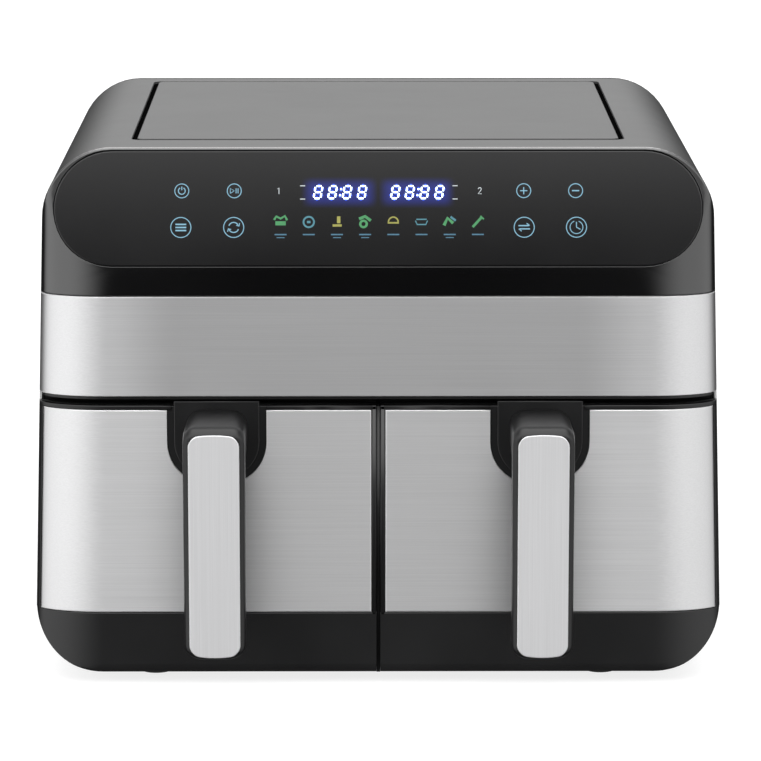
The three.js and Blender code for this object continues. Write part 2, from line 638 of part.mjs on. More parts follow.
// Side view of the handle: an arm out of the drawer and a grip hanging from it.
function handleProfile(spread) {
  const front = FRONT_Y - HANDLE_REACH - spread;
  const inner = FRONT_Y - HANDLE_REACH + GRIP_THICK + spread;
  const root = FRONT_Y + 1.6 + spread;
  const z0 = BASE_Z + GRIP_BOTTOM - spread;
  const z1 = BASE_Z + GRIP_TOP + spread;
  const underArm = z1 - ARM_HEIGHT - 2 * spread;
  const shape = new THREE.Shape();
  shape.moveTo(root, z1);
  shape.lineTo(root, underArm);
  shape.lineTo(inner + 9, underArm);
  shape.absarc(inner + 9, underArm - 9, 9, Math.PI / 2, Math.PI, false);
  shape.lineTo(inner, z0 + 6);
  shape.absarc(inner - 6, z0 + 6, 6, 0, -Math.PI / 2, true);
  shape.absarc(front + 3, z0 + 3, 3, -Math.PI / 2, -Math.PI, true);
  shape.lineTo(front, z1 - 5);
  shape.absarc(front + 5, z1 - 5, 5, Math.PI, Math.PI / 2, true);
  return shape;
}

function handleSolid(side, spread) {
  const x = side * HANDLE_MIDDLE;
  const half = HANDLE_WIDTH / 2 + spread;
  const sideView = prismX(handleProfile(spread), x - half, x + half, 5);
  const z0 = BASE_Z + GRIP_BOTTOM - spread;
  const outline = roundedRect(x - half, x + half, z0, BASE_Z + GRIP_TOP + spread, 8);
  return sideView.intersect(prismY(outline, FRONT_Y - BIG, FRONT_Y + BIG, 5));
}

function inlaySolid(side, spread) {
  const x = side * HANDLE_MIDDLE;
  const half = INLAY_WIDTH / 2 + spread;
  const z0 = BASE_Z + GRIP_BOTTOM + 3.2 - spread;
  const z1 = BASE_Z + GRIP_TOP - 5.2 + spread;
  const front = FRONT_Y - HANDLE_REACH;
  const outline = roundedRect(x - half, x + half, z0, z1, 5 + spread);
  return prismY(outline, front - spread * 2, front + SKIN + spread, 5);
}

function handleGrip(side) {
  return handleSolid(side, 0).subtract(inlaySolid(side, GAP));
}

function tubShape(side, inset) {
  const near = side * (TUB_FROM_MIDDLE + inset);
  const far = side * (TUB_FROM_MIDDLE + TUB_WIDTH - inset);
  return roundedRect(Math.min(near, far), Math.max(near, far), SHELL_Y + inset,
    SHELL_Y + TUB_DEPTH - inset, TUB_RADIUS - inset);
}

function tub(side) {
  const outer = prismZ(tubShape(side, 0), TUB_Z, TUB_TOP_Z, 6);
  return outer.subtract(prismZ(tubShape(side, TUB_WALL), TUB_Z + TUB_WALL, TUB_TOP_Z + 5, 6));
}

// ---------------------------------------------------------------- crisper plates
function crisperPlate(side) {
  const x = side * TUB_MIDDLE;
  const tray = prismZ(tubShape(side, PLATE_INSET), CRISPER_Z, CRISPER_Z + PLATE_RIM, 6);
  const dish = prismZ(tubShape(side, PLATE_INSET + PLATE_SHEET), CRISPER_Z + PLATE_SHEET,
    CRISPER_Z + PLATE_RIM + 5, 6);
  const holes = [];
  for (let row = -3; row <= 3; row += 1) {
    for (let column = -1.5; column <= 1.5; column += 1) {
      const y = FAN_Y + row * TUB_DEPTH / 8.2;
      const holeX = x + column * TUB_WIDTH / 5.1;
      holes.push(rodZ(PLATE_HOLE, holeX, y, CRISPER_Z - 1, CRISPER_Z + PLATE_SHEET + 1, 6));
    }
  }
  return tray.subtract(dish).subtract(union(holes));
}

function bumperPlaces(side) {
  const reach = TUB_WIDTH / 2 - PLATE_INSET;
  const along = TUB_DEPTH * 0.27;
  const places = [];
  for (const end of [-1, 1]) {
    for (const edge of [-1, 1]) places.push([side * TUB_MIDDLE + edge * reach, FAN_Y + end * along, edge]);
  }
  return places;
}

// Silicone block that grips the plate's edge and stands on the tub floor.
function bumper([x, y, edge]) {
  const half = 8;
  const rimTop = CRISPER_Z + PLATE_RIM;
  const outside = PLATE_INSET - TUB_WALL - 0.4;
  const block = box(x - edge * 7, x + edge * outside, y - half, y + half, TUB_Z + TUB_WALL + GAP, rimTop + 2);
  const rimSlot = box(x - edge * (PLATE_SHEET + GAP), x + edge * GAP, y - half - 1, y + half + 1,
    CRISPER_Z - GAP, rimTop + GAP);
  const sheetSlot = box(x - edge * 9, x + edge * GAP, y - half - 1, y + half + 1, CRISPER_Z - GAP,
    CRISPER_Z + PLATE_SHEET + GAP);
  return block.subtract(rimSlot).subtract(sheetSlot);
}

// ---------------------------------------------------------------- the assembly
function addHousing(group) {
  group.add(piece('outer_housing', outerHousing(), matte(0x242526, 0.45)));
  group.add(piece('top_plate', topPlate(), matte(0x262728, 0.45)));
  group.add(piece('front_fascia', frontFascia(), matte(0x0c0c0d, 0.12)));
  group.add(piece('control_panel', controlPanel(), matte(0x08090a, 0.06)));
  group.add(piece('control_board', controlBoard(), matte(0x1d5a38, 0.5)));
  group.add(piece('steel_band', steelBand(), metal(0xb9babb, 0.32)));
  group.add(piece('front_frame', frontFrame(), matte(0x111112, 0.5)));
  group.add(piece('base_pan', basePan(), matte(0x161617, 0.6)));
  group.add(piece('rear_cover', rearCover(), matte(0x18191a, 0.6)));
  group.add(piece('cord_inlet', cordInlet(), matte(0x101010, 0.7)));
  group.add(piece('power_board', powerBoard(), matte(0x2a5a3a, 0.5)));
  footPlaces().forEach((place, i) => group.add(piece(`foot_${i + 1}`, foot(place), matte(0x0d0d0d, 0.9))));
  rearScrewPlaces().forEach((place, i) => {
    group.add(piece(`rear_screw_${i + 1}`, rearScrew(place), metal(0x8d8f92, 0.3)));
  });
}

function addSide(group, side, word) {
  group.add(piece(`display_${word}`, display(side), matte(0x101418, 0.2)));
  group.add(piece(`drawer_switch_${word}`, drawerSwitch(side), matte(0x1a1a1a, 0.5)));
  group.add(piece(`chamber_${word}`, chamber(side), metal(0x9a9c9e, 0.4)));
  group.add(piece(`heater_${word}`, heater(side), metal(0x5a5552, 0.5)));
  group.add(piece(`heater_guard_${word}`, heaterGuard(side), metal(0xa7a9ab, 0.35)));
  group.add(piece(`fan_shroud_${word}`, fanShroud(side), metal(0x8a8c8e, 0.45)));
  group.add(piece(`motor_${word}`, motor(side), metal(0x6d6f72, 0.45)));
  group.add(piece(`fan_shaft_${word}`, fanShaft(side), metal(0xb0b2b4, 0.25)));
  group.add(piece(`impeller_${word}`, impeller(side), metal(0xa0a2a4, 0.35)));
  group.add(piece(`cooling_fan_${word}`, coolingFan(side), matte(0x2a2b2c, 0.5)));
}

function addDrawer(group, side, word) {
  group.add(piece(`drawer_front_${word}`, drawerFront(side), matte(0x111112, 0.4)));
  group.add(piece(`steel_skin_${word}`, steelSkin(side), metal(0xb9babb, 0.32)));
  group.add(piece(`handle_lug_${word}`, handleLug(side), matte(0x0e0e0f, 0.35)));
  group.add(piece(`handle_${word}`, handleGrip(side), matte(0x0e0e0f, 0.3)));
  group.add(piece(`handle_inlay_${word}`, inlaySolid(side, 0), metal(0xc3c4c5, 0.3)));
  group.add(piece(`tub_${word}`, tub(side), matte(0x26272a, 0.4)));
  group.add(piece(`crisper_plate_${word}`, crisperPlate(side), matte(0x232426, 0.4)));
  bumperPlaces(side).forEach((place, i) => {
    group.add(piece(`bumper_${word}_${i + 1}`, bumper(place), matte(0x2f3032, 0.85)));
  });
}

function airFryer() {
  const group = new THREE.Group();
  group.name = 'dual_drawer_air_fryer';
  addHousing(group);
  for (const [side, word] of [[-1, 'left'], [1, 'right']]) {
    addSide(group, side, word);
    addDrawer(group, side, word);
  }
  return group;
}

export default airFryer();
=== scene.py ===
# %% [markdown]
# # A dual-drawer air fryer
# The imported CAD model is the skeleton: it says where every piece sits and how it moves.
# Around it this script grows the skins that a person sees: moulded shells, brushed steel,
# a leaning touch panel, bar handles and coated drawers. Everything is in metres, +Z up,
# and the front of the appliance faces -Y.

import json
import math

import bmesh
import bpy
import numpy as np
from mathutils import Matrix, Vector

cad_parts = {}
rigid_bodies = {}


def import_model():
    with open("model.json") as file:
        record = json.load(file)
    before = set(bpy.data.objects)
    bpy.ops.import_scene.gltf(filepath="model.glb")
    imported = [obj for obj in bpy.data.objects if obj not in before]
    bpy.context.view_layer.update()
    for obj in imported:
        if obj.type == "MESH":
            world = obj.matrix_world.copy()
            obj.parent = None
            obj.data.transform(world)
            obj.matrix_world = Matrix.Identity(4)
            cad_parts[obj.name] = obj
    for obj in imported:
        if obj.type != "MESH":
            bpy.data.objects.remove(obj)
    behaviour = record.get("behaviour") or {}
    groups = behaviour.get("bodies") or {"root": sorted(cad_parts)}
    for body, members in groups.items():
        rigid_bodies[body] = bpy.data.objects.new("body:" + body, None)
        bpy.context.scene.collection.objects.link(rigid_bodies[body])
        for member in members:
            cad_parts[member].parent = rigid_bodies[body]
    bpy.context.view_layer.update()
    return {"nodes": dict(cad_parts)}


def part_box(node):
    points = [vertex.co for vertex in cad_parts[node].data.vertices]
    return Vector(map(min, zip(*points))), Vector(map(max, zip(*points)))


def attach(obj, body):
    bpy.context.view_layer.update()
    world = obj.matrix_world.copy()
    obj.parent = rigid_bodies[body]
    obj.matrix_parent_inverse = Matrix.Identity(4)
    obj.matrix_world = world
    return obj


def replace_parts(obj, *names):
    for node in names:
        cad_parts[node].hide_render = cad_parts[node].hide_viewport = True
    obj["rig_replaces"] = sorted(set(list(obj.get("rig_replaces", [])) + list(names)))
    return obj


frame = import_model()

# %% [markdown]
# ## Where things are
# Every level comes from a CAD node's own box, so the skins follow the skeleton if it changes.

# %% Levels taken from the CAD nodes
MM = 0.001
cover_low, cover_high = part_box("rear_cover")
BASE_Z = cover_low.z
TOP_Z = cover_high.z
FRONT_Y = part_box("front_fascia")[0].y
SHELL_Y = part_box("outer_housing")[0].y
SHELL_BACK_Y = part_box("outer_housing")[1].y
PAN_TOP_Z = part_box("base_pan")[1].z
FASCIA_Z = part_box("front_fascia")[0].z
BAND_LOW_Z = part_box("steel_band")[0].z
BAND_HIGH_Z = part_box("steel_band")[1].z
DRAWER_TOP_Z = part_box("drawer_front_right")[1].z - 0.7 * MM
DRAWER_NEAR_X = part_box("drawer_front_right")[0].x
SKIN_LOW_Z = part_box("steel_skin_right")[0].z
HANDLE_X = (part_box("handle_right")[0].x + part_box("handle_right")[1].x) / 2
print("body from z", round(BASE_Z, 4), "to", round(TOP_Z, 4), "handles at x", round(HANDLE_X, 4))

# %% [markdown]
# ## The body's form
# Seen from the front the body is a rounded rectangle that narrows a little upwards.
# Seen from above its front corners are quarter ellipses. Both rules are written once here,
# as functions of position, and every outer skin uses them.

# %% Rules of the outer form
BASE_HALF = 194.8 * MM
TOP_HALF = 186.4 * MM
CORNER_R = 39.5 * MM
PLAN_X = 40.0 * MM
PLAN_Y = 19.0 * MM
WALL = 2.5 * MM
LEAN = math.radians(15.3)
PANEL_START = 17.0 * MM


def share(z):
    """Width at height z over the width at the bottom: falls in a straight line with height."""
    return 1 - (1 - TOP_HALF / BASE_HALF) * (np.asarray(z) - BASE_Z) / (TOP_Z - BASE_Z)


def plan_depth(x):
    """How far back the front lies at x before the narrowing: nothing on the flat middle, then
    depth = b * (1 - sqrt(1 - a * a)), the quarter ellipse of the corner."""
    a = np.clip((np.abs(x) - (BASE_HALF - PLAN_X)) / PLAN_X, 0, 1)
    return PLAN_Y * (1 - np.sqrt(1 - a * a))


def arc(cx, cz, radius, start, stop, count):
    """Points on a circle: centre + radius * (cos, sin) of an angle from start to stop in degrees."""
    angle = np.radians(np.linspace(start, stop, count))
    return np.stack([cx + radius * np.cos(angle), cz + radius * np.sin(angle)], axis=1)


def line(x0, z0, x1, z1, count):
    """Points spread evenly on a straight line, both ends included."""
    return np.stack([np.linspace(x0, x1, count), np.linspace(z0, z1, count)], axis=1)


def fillet(radius, count=4):
    """Steps round a quarter circle as (inset, drop): inset falls from radius to 0 while drop rises."""
    angle = np.linspace(0, math.pi / 2, count)
    return np.stack([radius * (1 - np.sin(angle)), radius * (1 - np.cos(angle))], axis=1)


print("form ready, half width at mid height", round(float(BASE_HALF * share(0.155)), 4))

# %% [markdown]
# ## One mesh builder
# All new pieces are grids of points worked out by numpy. This cell turns such grids into one
# mesh: neighbouring points become quads, a wrapped grid closes on itself, and a cap closes an
# open end with one face. Doubled points are joined so that every piece is a closed skin, and
# its faces are turned outwards.


# %% Grids to meshes
def grid(points, wrap=False, cap_start=False, cap_end=False):
    """One grid of points (rows, columns, 3) with how it closes."""
    return {"p": np.asarray(points, float), "wrap": wrap, "caps": (cap_start, cap_end)}


def make(name, parts, material, body, replaces=(), turn=True):
    """Joins grids into one object: face k joins points k, k+1, k+1+columns and k+columns."""
    loops, verts, offset = [], [], 0
    for part in parts:
        rows, cols = part["p"].shape[:2]
        index = offset + np.arange(rows * cols).reshape(rows, cols)
        right = np.roll(index, -1, axis=1) if part["wrap"] else index[:, 1:]
        left = index if part["wrap"] else index[:, :-1]
        quads = np.stack([left[:-1], right[:-1], right[1:], left[1:]], axis=-1).reshape(-1, 4)
        loops += [quads]
        for flag, row in zip(part["caps"], (index[0][::-1], index[-1])):
            if flag:
                loops += [row.reshape(1, -1)]
        verts += [part["p"].reshape(-1, 3)]
        offset += rows * cols
    flat = np.concatenate([q.ravel() for q in loops])
    totals = np.concatenate([np.full(len(q), q.shape[1]) for q in loops])
    starts = np.concatenate([[0], np.cumsum(totals)[:-1]])
    mesh = bpy.data.meshes.new(name)
    mesh.vertices.add(offset)
    mesh.vertices.foreach_set("co", np.concatenate(verts).ravel())
    mesh.loops.add(len(flat))
    mesh.loops.foreach_set("vertex_index", flat)
    mesh.polygons.add(len(totals))
    mesh.polygons.foreach_set("loop_start", starts)
    mesh.update(calc_edges=True)
    if turn:
        work = bmesh.new()
        work.from_mesh(mesh)
        bmesh.ops.remove_doubles(work, verts=work.verts, dist=1e-6)
        bmesh.ops.recalc_face_normals(work, faces=work.faces)
        work.to_mesh(mesh)
        work.free()
    mesh.polygons.foreach_set("use_smooth", np.ones(len(mesh.polygons), bool))
    mesh.materials.append(material)
    obj = bpy.data.objects.new(name, mesh)
    bpy.context.scene.collection.objects.link(obj)
    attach(obj, body)
    if replaces:
        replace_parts(obj, *replaces)
    return obj


def mirrored(part):
    """The same grid on the other side of the middle plane."""
    flipped = dict(part)
    flipped["p"] = part["p"] * np.array([-1.0, 1.0, 1.0])
    return flipped


def for_side(parts, side):
    """Parts are drawn for the right-hand drawer; side -1 mirrors them."""
    return parts if side > 0 else [mirrored(p) for p in parts]


print("mesh builder ready")

# %% [markdown]
# ## Finishes
# Each finish is a node material that reads object coordinates in metres, so its grain has a
# real size. Brushed steel is noise stretched along the brushing; moulded plastic is a fine
# grain plus faint, slow changes of sheen; coated metal has a speckle.


# %% Node helpers
def fresh(name, colour, metallic, roughness):
    """A new node material and its principled shader with three constants set."""
    material = bpy.data.materials.new(name)
    material.use_nodes = True
    shader = material.node_tree.nodes["Principled BSDF"]
    shader.inputs["Base Color"].default_value = (*colour, 1)
    shader.inputs["Metallic"].default_value = metallic
    shader.inputs["Roughness"].default_value = roughness
    return material, material.node_tree.nodes, material.node_tree.links, shader


def scaled_coords(nodes, links, scale):
    """Object coordinates times a scale per axis."""
    source = nodes.new("ShaderNodeTexCoord")
    mapping = nodes.new("ShaderNodeMapping")
    mapping.inputs["Scale"].default_value = scale
    links.new(source.outputs["Object"], mapping.inputs["Vector"])
    return mapping.outputs["Vector"]


def noise(nodes, links, scale, detail=2.0):
    """Noise over object coordinates, stretched by the scale of each axis."""
    texture = nodes.new("ShaderNodeTexNoise")
    texture.inputs["Scale"].default_value = 1.0
    texture.inputs["Detail"].default_value = detail
    links.new(scaled_coords(nodes, links, scale), texture.inputs["Vector"])
    return texture.outputs["Fac"]


def spread(nodes, links, value, low, high):
    """Maps the middle part of a noise, 0.3 to 0.7, onto low to high."""
    node = nodes.new("ShaderNodeMapRange")
    node.inputs["From Min"].default_value = 0.3
    node.inputs["From Max"].default_value = 0.7
    node.inputs["To Min"].default_value = low
    node.inputs["To Max"].default_value = high
    links.new(value, node.inputs["Value"])
    return node.outputs["Result"]


def tinted(nodes, links, shader, colour, factor):
    """Base colour times a factor that changes over the surface."""
    node = nodes.new("ShaderNodeVectorMath")
    node.operation = "SCALE"
    node.inputs[0].default_value = colour
    links.new(factor, node.inputs["Scale"])
    links.new(node.outputs["Vector"], shader.inputs["Base Color"])


def calculated(nodes, links, operation, *values):
    """One Math node fed with sockets or numbers."""
    node = nodes.new("ShaderNodeMath")
    node.operation = operation
    for socket, value in zip(node.inputs, values):
        if isinstance(value, (int, float)):
            socket.default_value = value
        else:
            links.new(value, socket)
    return node.outputs["Value"]


def product(nodes, links, first, second):
    """The product of two values."""
    return calculated(nodes, links, "MULTIPLY", first, second)


def eased(nodes, links, value, low, high, at_low, at_high):
    """Smooth step of a value between two limits, mapped onto two results."""
    node = nodes.new("ShaderNodeMapRange")
    node.interpolation_type = "SMOOTHSTEP"
    for key, number in zip(("From Min", "From Max", "To Min", "To Max"), (low, high, at_low, at_high)):
        node.inputs[key].default_value = number
    links.new(value, node.inputs["Value"])
    return node.outputs["Result"]


def position(nodes, links):
    """The object coordinates, one value per axis."""
    coords = nodes.new("ShaderNodeTexCoord")
    parts = nodes.new("ShaderNodeSeparateXYZ")
    links.new(coords.outputs["Object"], parts.inputs[0])
    return parts.outputs


def adjust(material, constants):
    """Sets constants on a finished material's shader, by the names of its sockets."""
    for socket, value in constants.items():
        material.node_tree.nodes["Principled BSDF"].inputs[socket].default_value = value


def bump(nodes, links, shader, height, strength, distance):
    """Relief from a height value, distance being its depth in metres."""
    node = nodes.new("ShaderNodeBump")
    node.inputs["Strength"].default_value = strength
    node.inputs["Distance"].default_value = distance
    links.new(height, node.inputs["Height"])
    links.new(node.outputs["Normal"], shader.inputs["Normal"])

# %% [markdown]
# ### Recipes
# Brushed sheet is rolled smooth and then scratched by an abrasive belt, always in one direction.
# Moulded plastic copies the texture of its mould. Non-stick paint is sprayed with pale flakes in it.
# Each recipe below makes one such surface and is used for several finishes.


# %% Finish recipes
def by_distance(nodes, links, start, stop, factor):
    """A factor by distance from the middle plane: one up to start, then easing to factor at stop."""
    distance = calculated(nodes, links, "ABSOLUTE", position(nodes, links)["X"])
    return eased(nodes, links, distance, start, stop, 1.0, factor)


def streaks(nodes, links, axis, along, across, detail):
    """Noise with a few cycles per metre along the brushing and many across it."""
    return noise(nodes, links, [along if a else across for a in axis], detail)


def brushed(name, colour, roughness, axis, painted_sheen=()):
    """Brushed metal: fine, middle and slow noise, the first two stretched along the brushing.
    The tangent is the cross product of the surface normal with the brushing's axis, so that
    highlights spread across the streaks. Painted sheen lists factors of the colour by distance
    from the middle plane: painted highlight and painted shade."""
    material, nodes, links, shader = fresh(name, colour, 1.0, roughness)
    fine = streaks(nodes, links, axis, 14, 3600, 2)
    middle = streaks(nodes, links, axis, 5, 1500, 3)
    slow = noise(nodes, links, (9, 9, 9), 2)
    shade = product(nodes, links, spread(nodes, links, fine, 0.96, 1.03),
                    spread(nodes, links, middle, 0.975, 1.02))
    shade = product(nodes, links, shade, spread(nodes, links, slow, 0.985, 1.01))
    # painted highlight and painted shade: colour factors by distance from the middle
    for start, stop, factor in painted_sheen:
        shade = product(nodes, links, shade, by_distance(nodes, links, start, stop, factor))
    tinted(nodes, links, shader, colour, shade)
    sheen = spread(nodes, links, middle, roughness - 0.015, roughness + 0.02)
    links.new(sheen, shader.inputs["Roughness"])
    shader.inputs["Anisotropic"].default_value = 0.8
    geometry = nodes.new("ShaderNodeNewGeometry")
    cross = nodes.new("ShaderNodeVectorMath")
    cross.operation = "CROSS_PRODUCT"
    links.new(geometry.outputs["Normal"], cross.inputs[0])
    cross.inputs[1].default_value = axis
    links.new(cross.outputs["Vector"], shader.inputs["Tangent"])
    bump(nodes, links, shader, fine, 0.06, 0.02 * MM)
    return material


def moulded(name, colour, roughness, grain, relief, uneven=0.05, coat=0.0):
    """Moulded plastic: a grain of a given count per metre in relief, and slow patches in which
    the sheen differs a little."""
    material, nodes, links, shader = fresh(name, colour, 0.0, roughness)
    fine = noise(nodes, links, (grain,) * 3, 3)
    slow = noise(nodes, links, (14, 14, 14), 3)
    tinted(nodes, links, shader, colour, spread(nodes, links, fine, 0.9, 1.1))
    sheen = spread(nodes, links, slow, roughness - uneven, roughness + uneven)
    links.new(sheen, shader.inputs["Roughness"])
    shader.inputs["Coat Weight"].default_value = coat
    shader.inputs["Coat Roughness"].default_value = 0.12
    shader.inputs["Coat IOR"].default_value = 1.7
    bump(nodes, links, shader, fine, relief, 0.08 * MM)
    return material


def speckled(name, colour, spot_colour, roughness):
    """Non-stick coating: dark paint with small pale specks where a fine noise peaks."""
    material, nodes, links, shader = fresh(name, colour, 0.0, roughness)
    dots = noise(nodes, links, (900, 900, 900), 1)
    peak = nodes.new("ShaderNodeMapRange")
    peak.inputs["From Min"].default_value = 0.62
    peak.inputs["From Max"].default_value = 0.70
    links.new(dots, peak.inputs["Value"])
    mix = nodes.new("ShaderNodeMix")
    mix.data_type = "RGBA"
    mix.inputs["A"].default_value = (*colour, 1)
    mix.inputs["B"].default_value = (*spot_colour, 1)
    links.new(peak.outputs["Result"], mix.inputs["Factor"])
    links.new(mix.outputs["Result"], shader.inputs["Base Color"])
    slow = noise(nodes, links, (25, 25, 25), 3)
    links.new(spread(nodes, links, slow, roughness - 0.06, roughness + 0.06), shader.inputs["Roughness"])
    bump(nodes, links, shader, noise(nodes, links, (2200,) * 3, 2), 0.2, 0.06 * MM)
    return material


def sheet_metal(name, colour, roughness, stain):
    """Bare rolled sheet: a rolling grain along the depth and darker heat stains in slow patches."""
    material, nodes, links, shader = fresh(name, colour, 1.0, roughness)
    rolled = noise(nodes, links, (900, 30, 900), 2)
    slow = noise(nodes, links, (11, 11, 11), 4)
    shade = product(nodes, links, spread(nodes, links, rolled, 0.92, 1.05),
                    spread(nodes, links, slow, 1 - stain, 1.0))
    tinted(nodes, links, shader, colour, shade)
    links.new(spread(nodes, links, slow, roughness + 0.1, roughness - 0.04), shader.inputs["Roughness"])
    bump(nodes, links, shader, rolled, 0.15, 0.04 * MM)
    return material


def lit(name, colour, strength):
    """A lit mark, or a printed mark given a painted glow; the glow varies slightly from place to
    place, as light behind a mask does."""
    material, nodes, links, shader = fresh(name, tuple(0.4 * c for c in colour), 0.0, 0.4)
    shader.inputs["Emission Color"].default_value = (*colour, 1)
    slow = noise(nodes, links, (400, 400, 400), 1)
    glow_strength = spread(nodes, links, slow, strength * 0.85, strength * 1.1)
    links.new(glow_strength, shader.inputs["Emission Strength"])
    return material

# %% [markdown]
# ### Metals
# The drawers and the band carry the brushing across, the handle inlays along their length.
# The painted sheen lists make the sheet a little paler or darker with distance from the middle:
# painted highlight and painted shade for the light that the bent ends of the sheet catch.

# %% Metals
ACROSS = (1, 0, 0)
UPRIGHT = (0, 0, 1)
STEEL = brushed("brushed_steel", (0.78, 0.78, 0.785), 0.49, ACROSS,
                painted_sheen=[(0.08, 0.14, 1.18), (0.15, 0.185, 0.80)])
# The band's steel is a darker copy of the drawers' steel: painted shade, as the band catches less light than
# the skins below it.
BAND_STEEL = brushed("band_steel", (0.60, 0.60, 0.605), 0.50, ACROSS,
                     painted_sheen=[(0.11, 0.155, 1.36), (0.158, 0.185, 0.92)])
INLAY = brushed("inlay_steel", (0.95, 0.95, 0.96), 0.54, UPRIGHT)
SHEET = sheet_metal("sheet_metal", (0.62, 0.63, 0.64), 0.34, 0.25)
MOTOR = sheet_metal("motor_steel", (0.38, 0.39, 0.40), 0.42, 0.2)
ROD = sheet_metal("heater_rod", (0.22, 0.2, 0.19), 0.5, 0.5)
SCREW = sheet_metal("screw_steel", (0.62, 0.62, 0.64), 0.28, 0.1)
print("metals:", len(bpy.data.materials))

# %% [markdown]
# ### Plastics and coatings
# The shell is satin, the fascia is gloss, and the feet and bumpers are matte rubber and silicone.
# Dark plastics differ more in sheen than in colour, so most of these differ by roughness.

# %% Plastics and coatings
SHELL = moulded("satin_shell", (0.0105, 0.0107, 0.011), 0.31, 1500, 0.3, 0.02)
GLOSS = moulded("gloss_black", (0.002, 0.002, 0.0022), 0.12, 500, 0.03, 0.03, 1.0)
PANEL = moulded("panel_black", (0.003, 0.003, 0.0033), 0.2, 700, 0.02, 0.02)
# painted shade: a dead black with no specular, laid in the groove where its inside is in shade
GROOVE_SHADE = moulded("groove_shade_black", (0.002, 0.002, 0.002), 0.9, 1500, 0.2)
adjust(GROOVE_SHADE, {"Specular IOR Level": 0.0})
# painted highlight: a paler black under a very strong coat, so that the front rim shows a bright line
EDGE = moulded("rim_painted_highlight", (0.03, 0.03, 0.0305), 0.2, 900, 0.004, 0.02, 1.0)
adjust(EDGE, {"Coat IOR": 4.0, "Coat Roughness": 0.1})
SATIN = moulded("satin_black", (0.006, 0.006, 0.0063), 0.33, 1700, 0.3)
GRIP = moulded("grip_black", (0.005, 0.005, 0.0053), 0.32, 1400, 0.12)
adjust(GRIP, {"Specular IOR Level": 0.4})
BASE = moulded("base_black", (0.02, 0.02, 0.021), 0.5, 1300, 0.5)
RUBBER = moulded("rubber_black", (0.012, 0.012, 0.012), 0.75, 2200, 0.5)
SILICONE = moulded("silicone", (0.03, 0.03, 0.032), 0.6, 1200, 0.15)
FAN_PLASTIC = moulded("fan_black", (0.03, 0.03, 0.032), 0.45, 1200, 0.3)
BOARD = moulded("circuit_green", (0.012, 0.07, 0.035), 0.35, 900, 0.3)
COATING = speckled("nonstick", (0.022, 0.0225, 0.024), (0.11, 0.11, 0.115), 0.38)
print("with plastics:", len(bpy.data.materials))

# %% [markdown]
# ### Lit and printed marks
# The digits are lit from behind. The signs are printed and get a faint painted glow, so that
# they read as clean colours on the black panel.

# %% Lit and printed marks
LIT_WHITE = lit("lit_white", (0.70, 0.86, 1.0), 3.2)
# painted glow: the blue fringe of light round the lit bars
LIT_HALO = lit("lit_halo", (0.03, 0.10, 0.80), 1.1)
# the printed marks below glow faintly: painted glow, as they are no lamps
MARK_BLUE = lit("mark_blue", (0.17, 0.35, 0.46), 0.85)
MARK_LABEL = lit("mark_label", (0.05, 0.14, 0.21), 0.9)
MARK_WHITE = lit("mark_white", (0.55, 0.60, 0.62), 0.7)
MARK_GREEN = lit("mark_green", (0.05, 0.24, 0.09), 0.8)
MARK_TEAL = lit("mark_teal", (0.06, 0.20, 0.25), 0.8)
MARK_YELLOW = lit("mark_yellow", (0.28, 0.27, 0.06), 0.8)
print("finishes:", len(bpy.data.materials))

# %% [markdown]
# ### Painted glow round the displays
# A lit display makes the tinted panel glow around its digits. This glow is painted into the panel's
# own material as emission, so it follows the panel without being a piece of its own.

# %% Painted glow round the displays
DISPLAY_X = 21.4 * MM
DIGIT_ROW = 41.2


def window(nodes, links, value, centre, full, none):
    """One where a value lies within full of a centre, fading to nothing at none."""
    away = calculated(nodes, links, "ABSOLUTE", calculated(nodes, links, "SUBTRACT", value, centre))
    return eased(nodes, links, away, full, none, 1, 0)


def add_painted_glow(material, strength):
    """Painted glow for blue light scattered round the digits: one soft window across x, one up z,
    multiplied.
    """
    nodes, links = material.node_tree.nodes, material.node_tree.links
    place = position(nodes, links)
    beside = calculated(nodes, links, "ABSOLUTE", place["X"])
    digits_z = FASCIA_Z + PANEL_START + DIGIT_ROW * MM * math.cos(LEAN)
    haze = product(nodes, links, window(nodes, links, beside, DISPLAY_X, 14 * MM, 22 * MM),
                   window(nodes, links, place["Z"], digits_z, 2.5 * MM, 9 * MM))
    adjust(material, {"Emission Color": (0.06, 0.10, 1.0, 1)})
    links.new(product(nodes, links, haze, strength), nodes["Principled BSDF"].inputs["Emission Strength"])


add_painted_glow(PANEL, 0.2)
print("haze centred at x", DISPLAY_X, "on both sides")

# %% [markdown]
# ## The housing shell
# The outer sleeve is one thin moulding wrapped over the top and both sides. Its section is a
# closed profile with rounded front and rear edges, carried along the outline. On top a tray is
# sunk for the inset top plate; grid lines crowd together where the tray wall drops.

# %% Housing shell
plate_low, plate_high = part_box("top_plate")
FLANGE = 7.8 * MM
SIDE_GAP = 2.8 * MM
FRONT_GAP = 5.6 * MM
BACK_GAP = 0.5 * MM
TRAY_X = plate_high.x - FLANGE + SIDE_GAP
TRAY_FRONT = plate_low.y + FLANGE - FRONT_GAP
TRAY_BACK = plate_high.y - FLANGE + BACK_GAP
TRAY_R = 6.0 * MM
TRAY_DEEP = 7.0 * MM


def crowd(centre):
    """Offsets that crowd round a line where the surface changes quickly."""
    near = np.concatenate([np.arange(-7.5, -0.6, 0.5), [-0.5, -0.12, 0.12, 0.5, 1, 2, 3]])
    return centre + near * MM


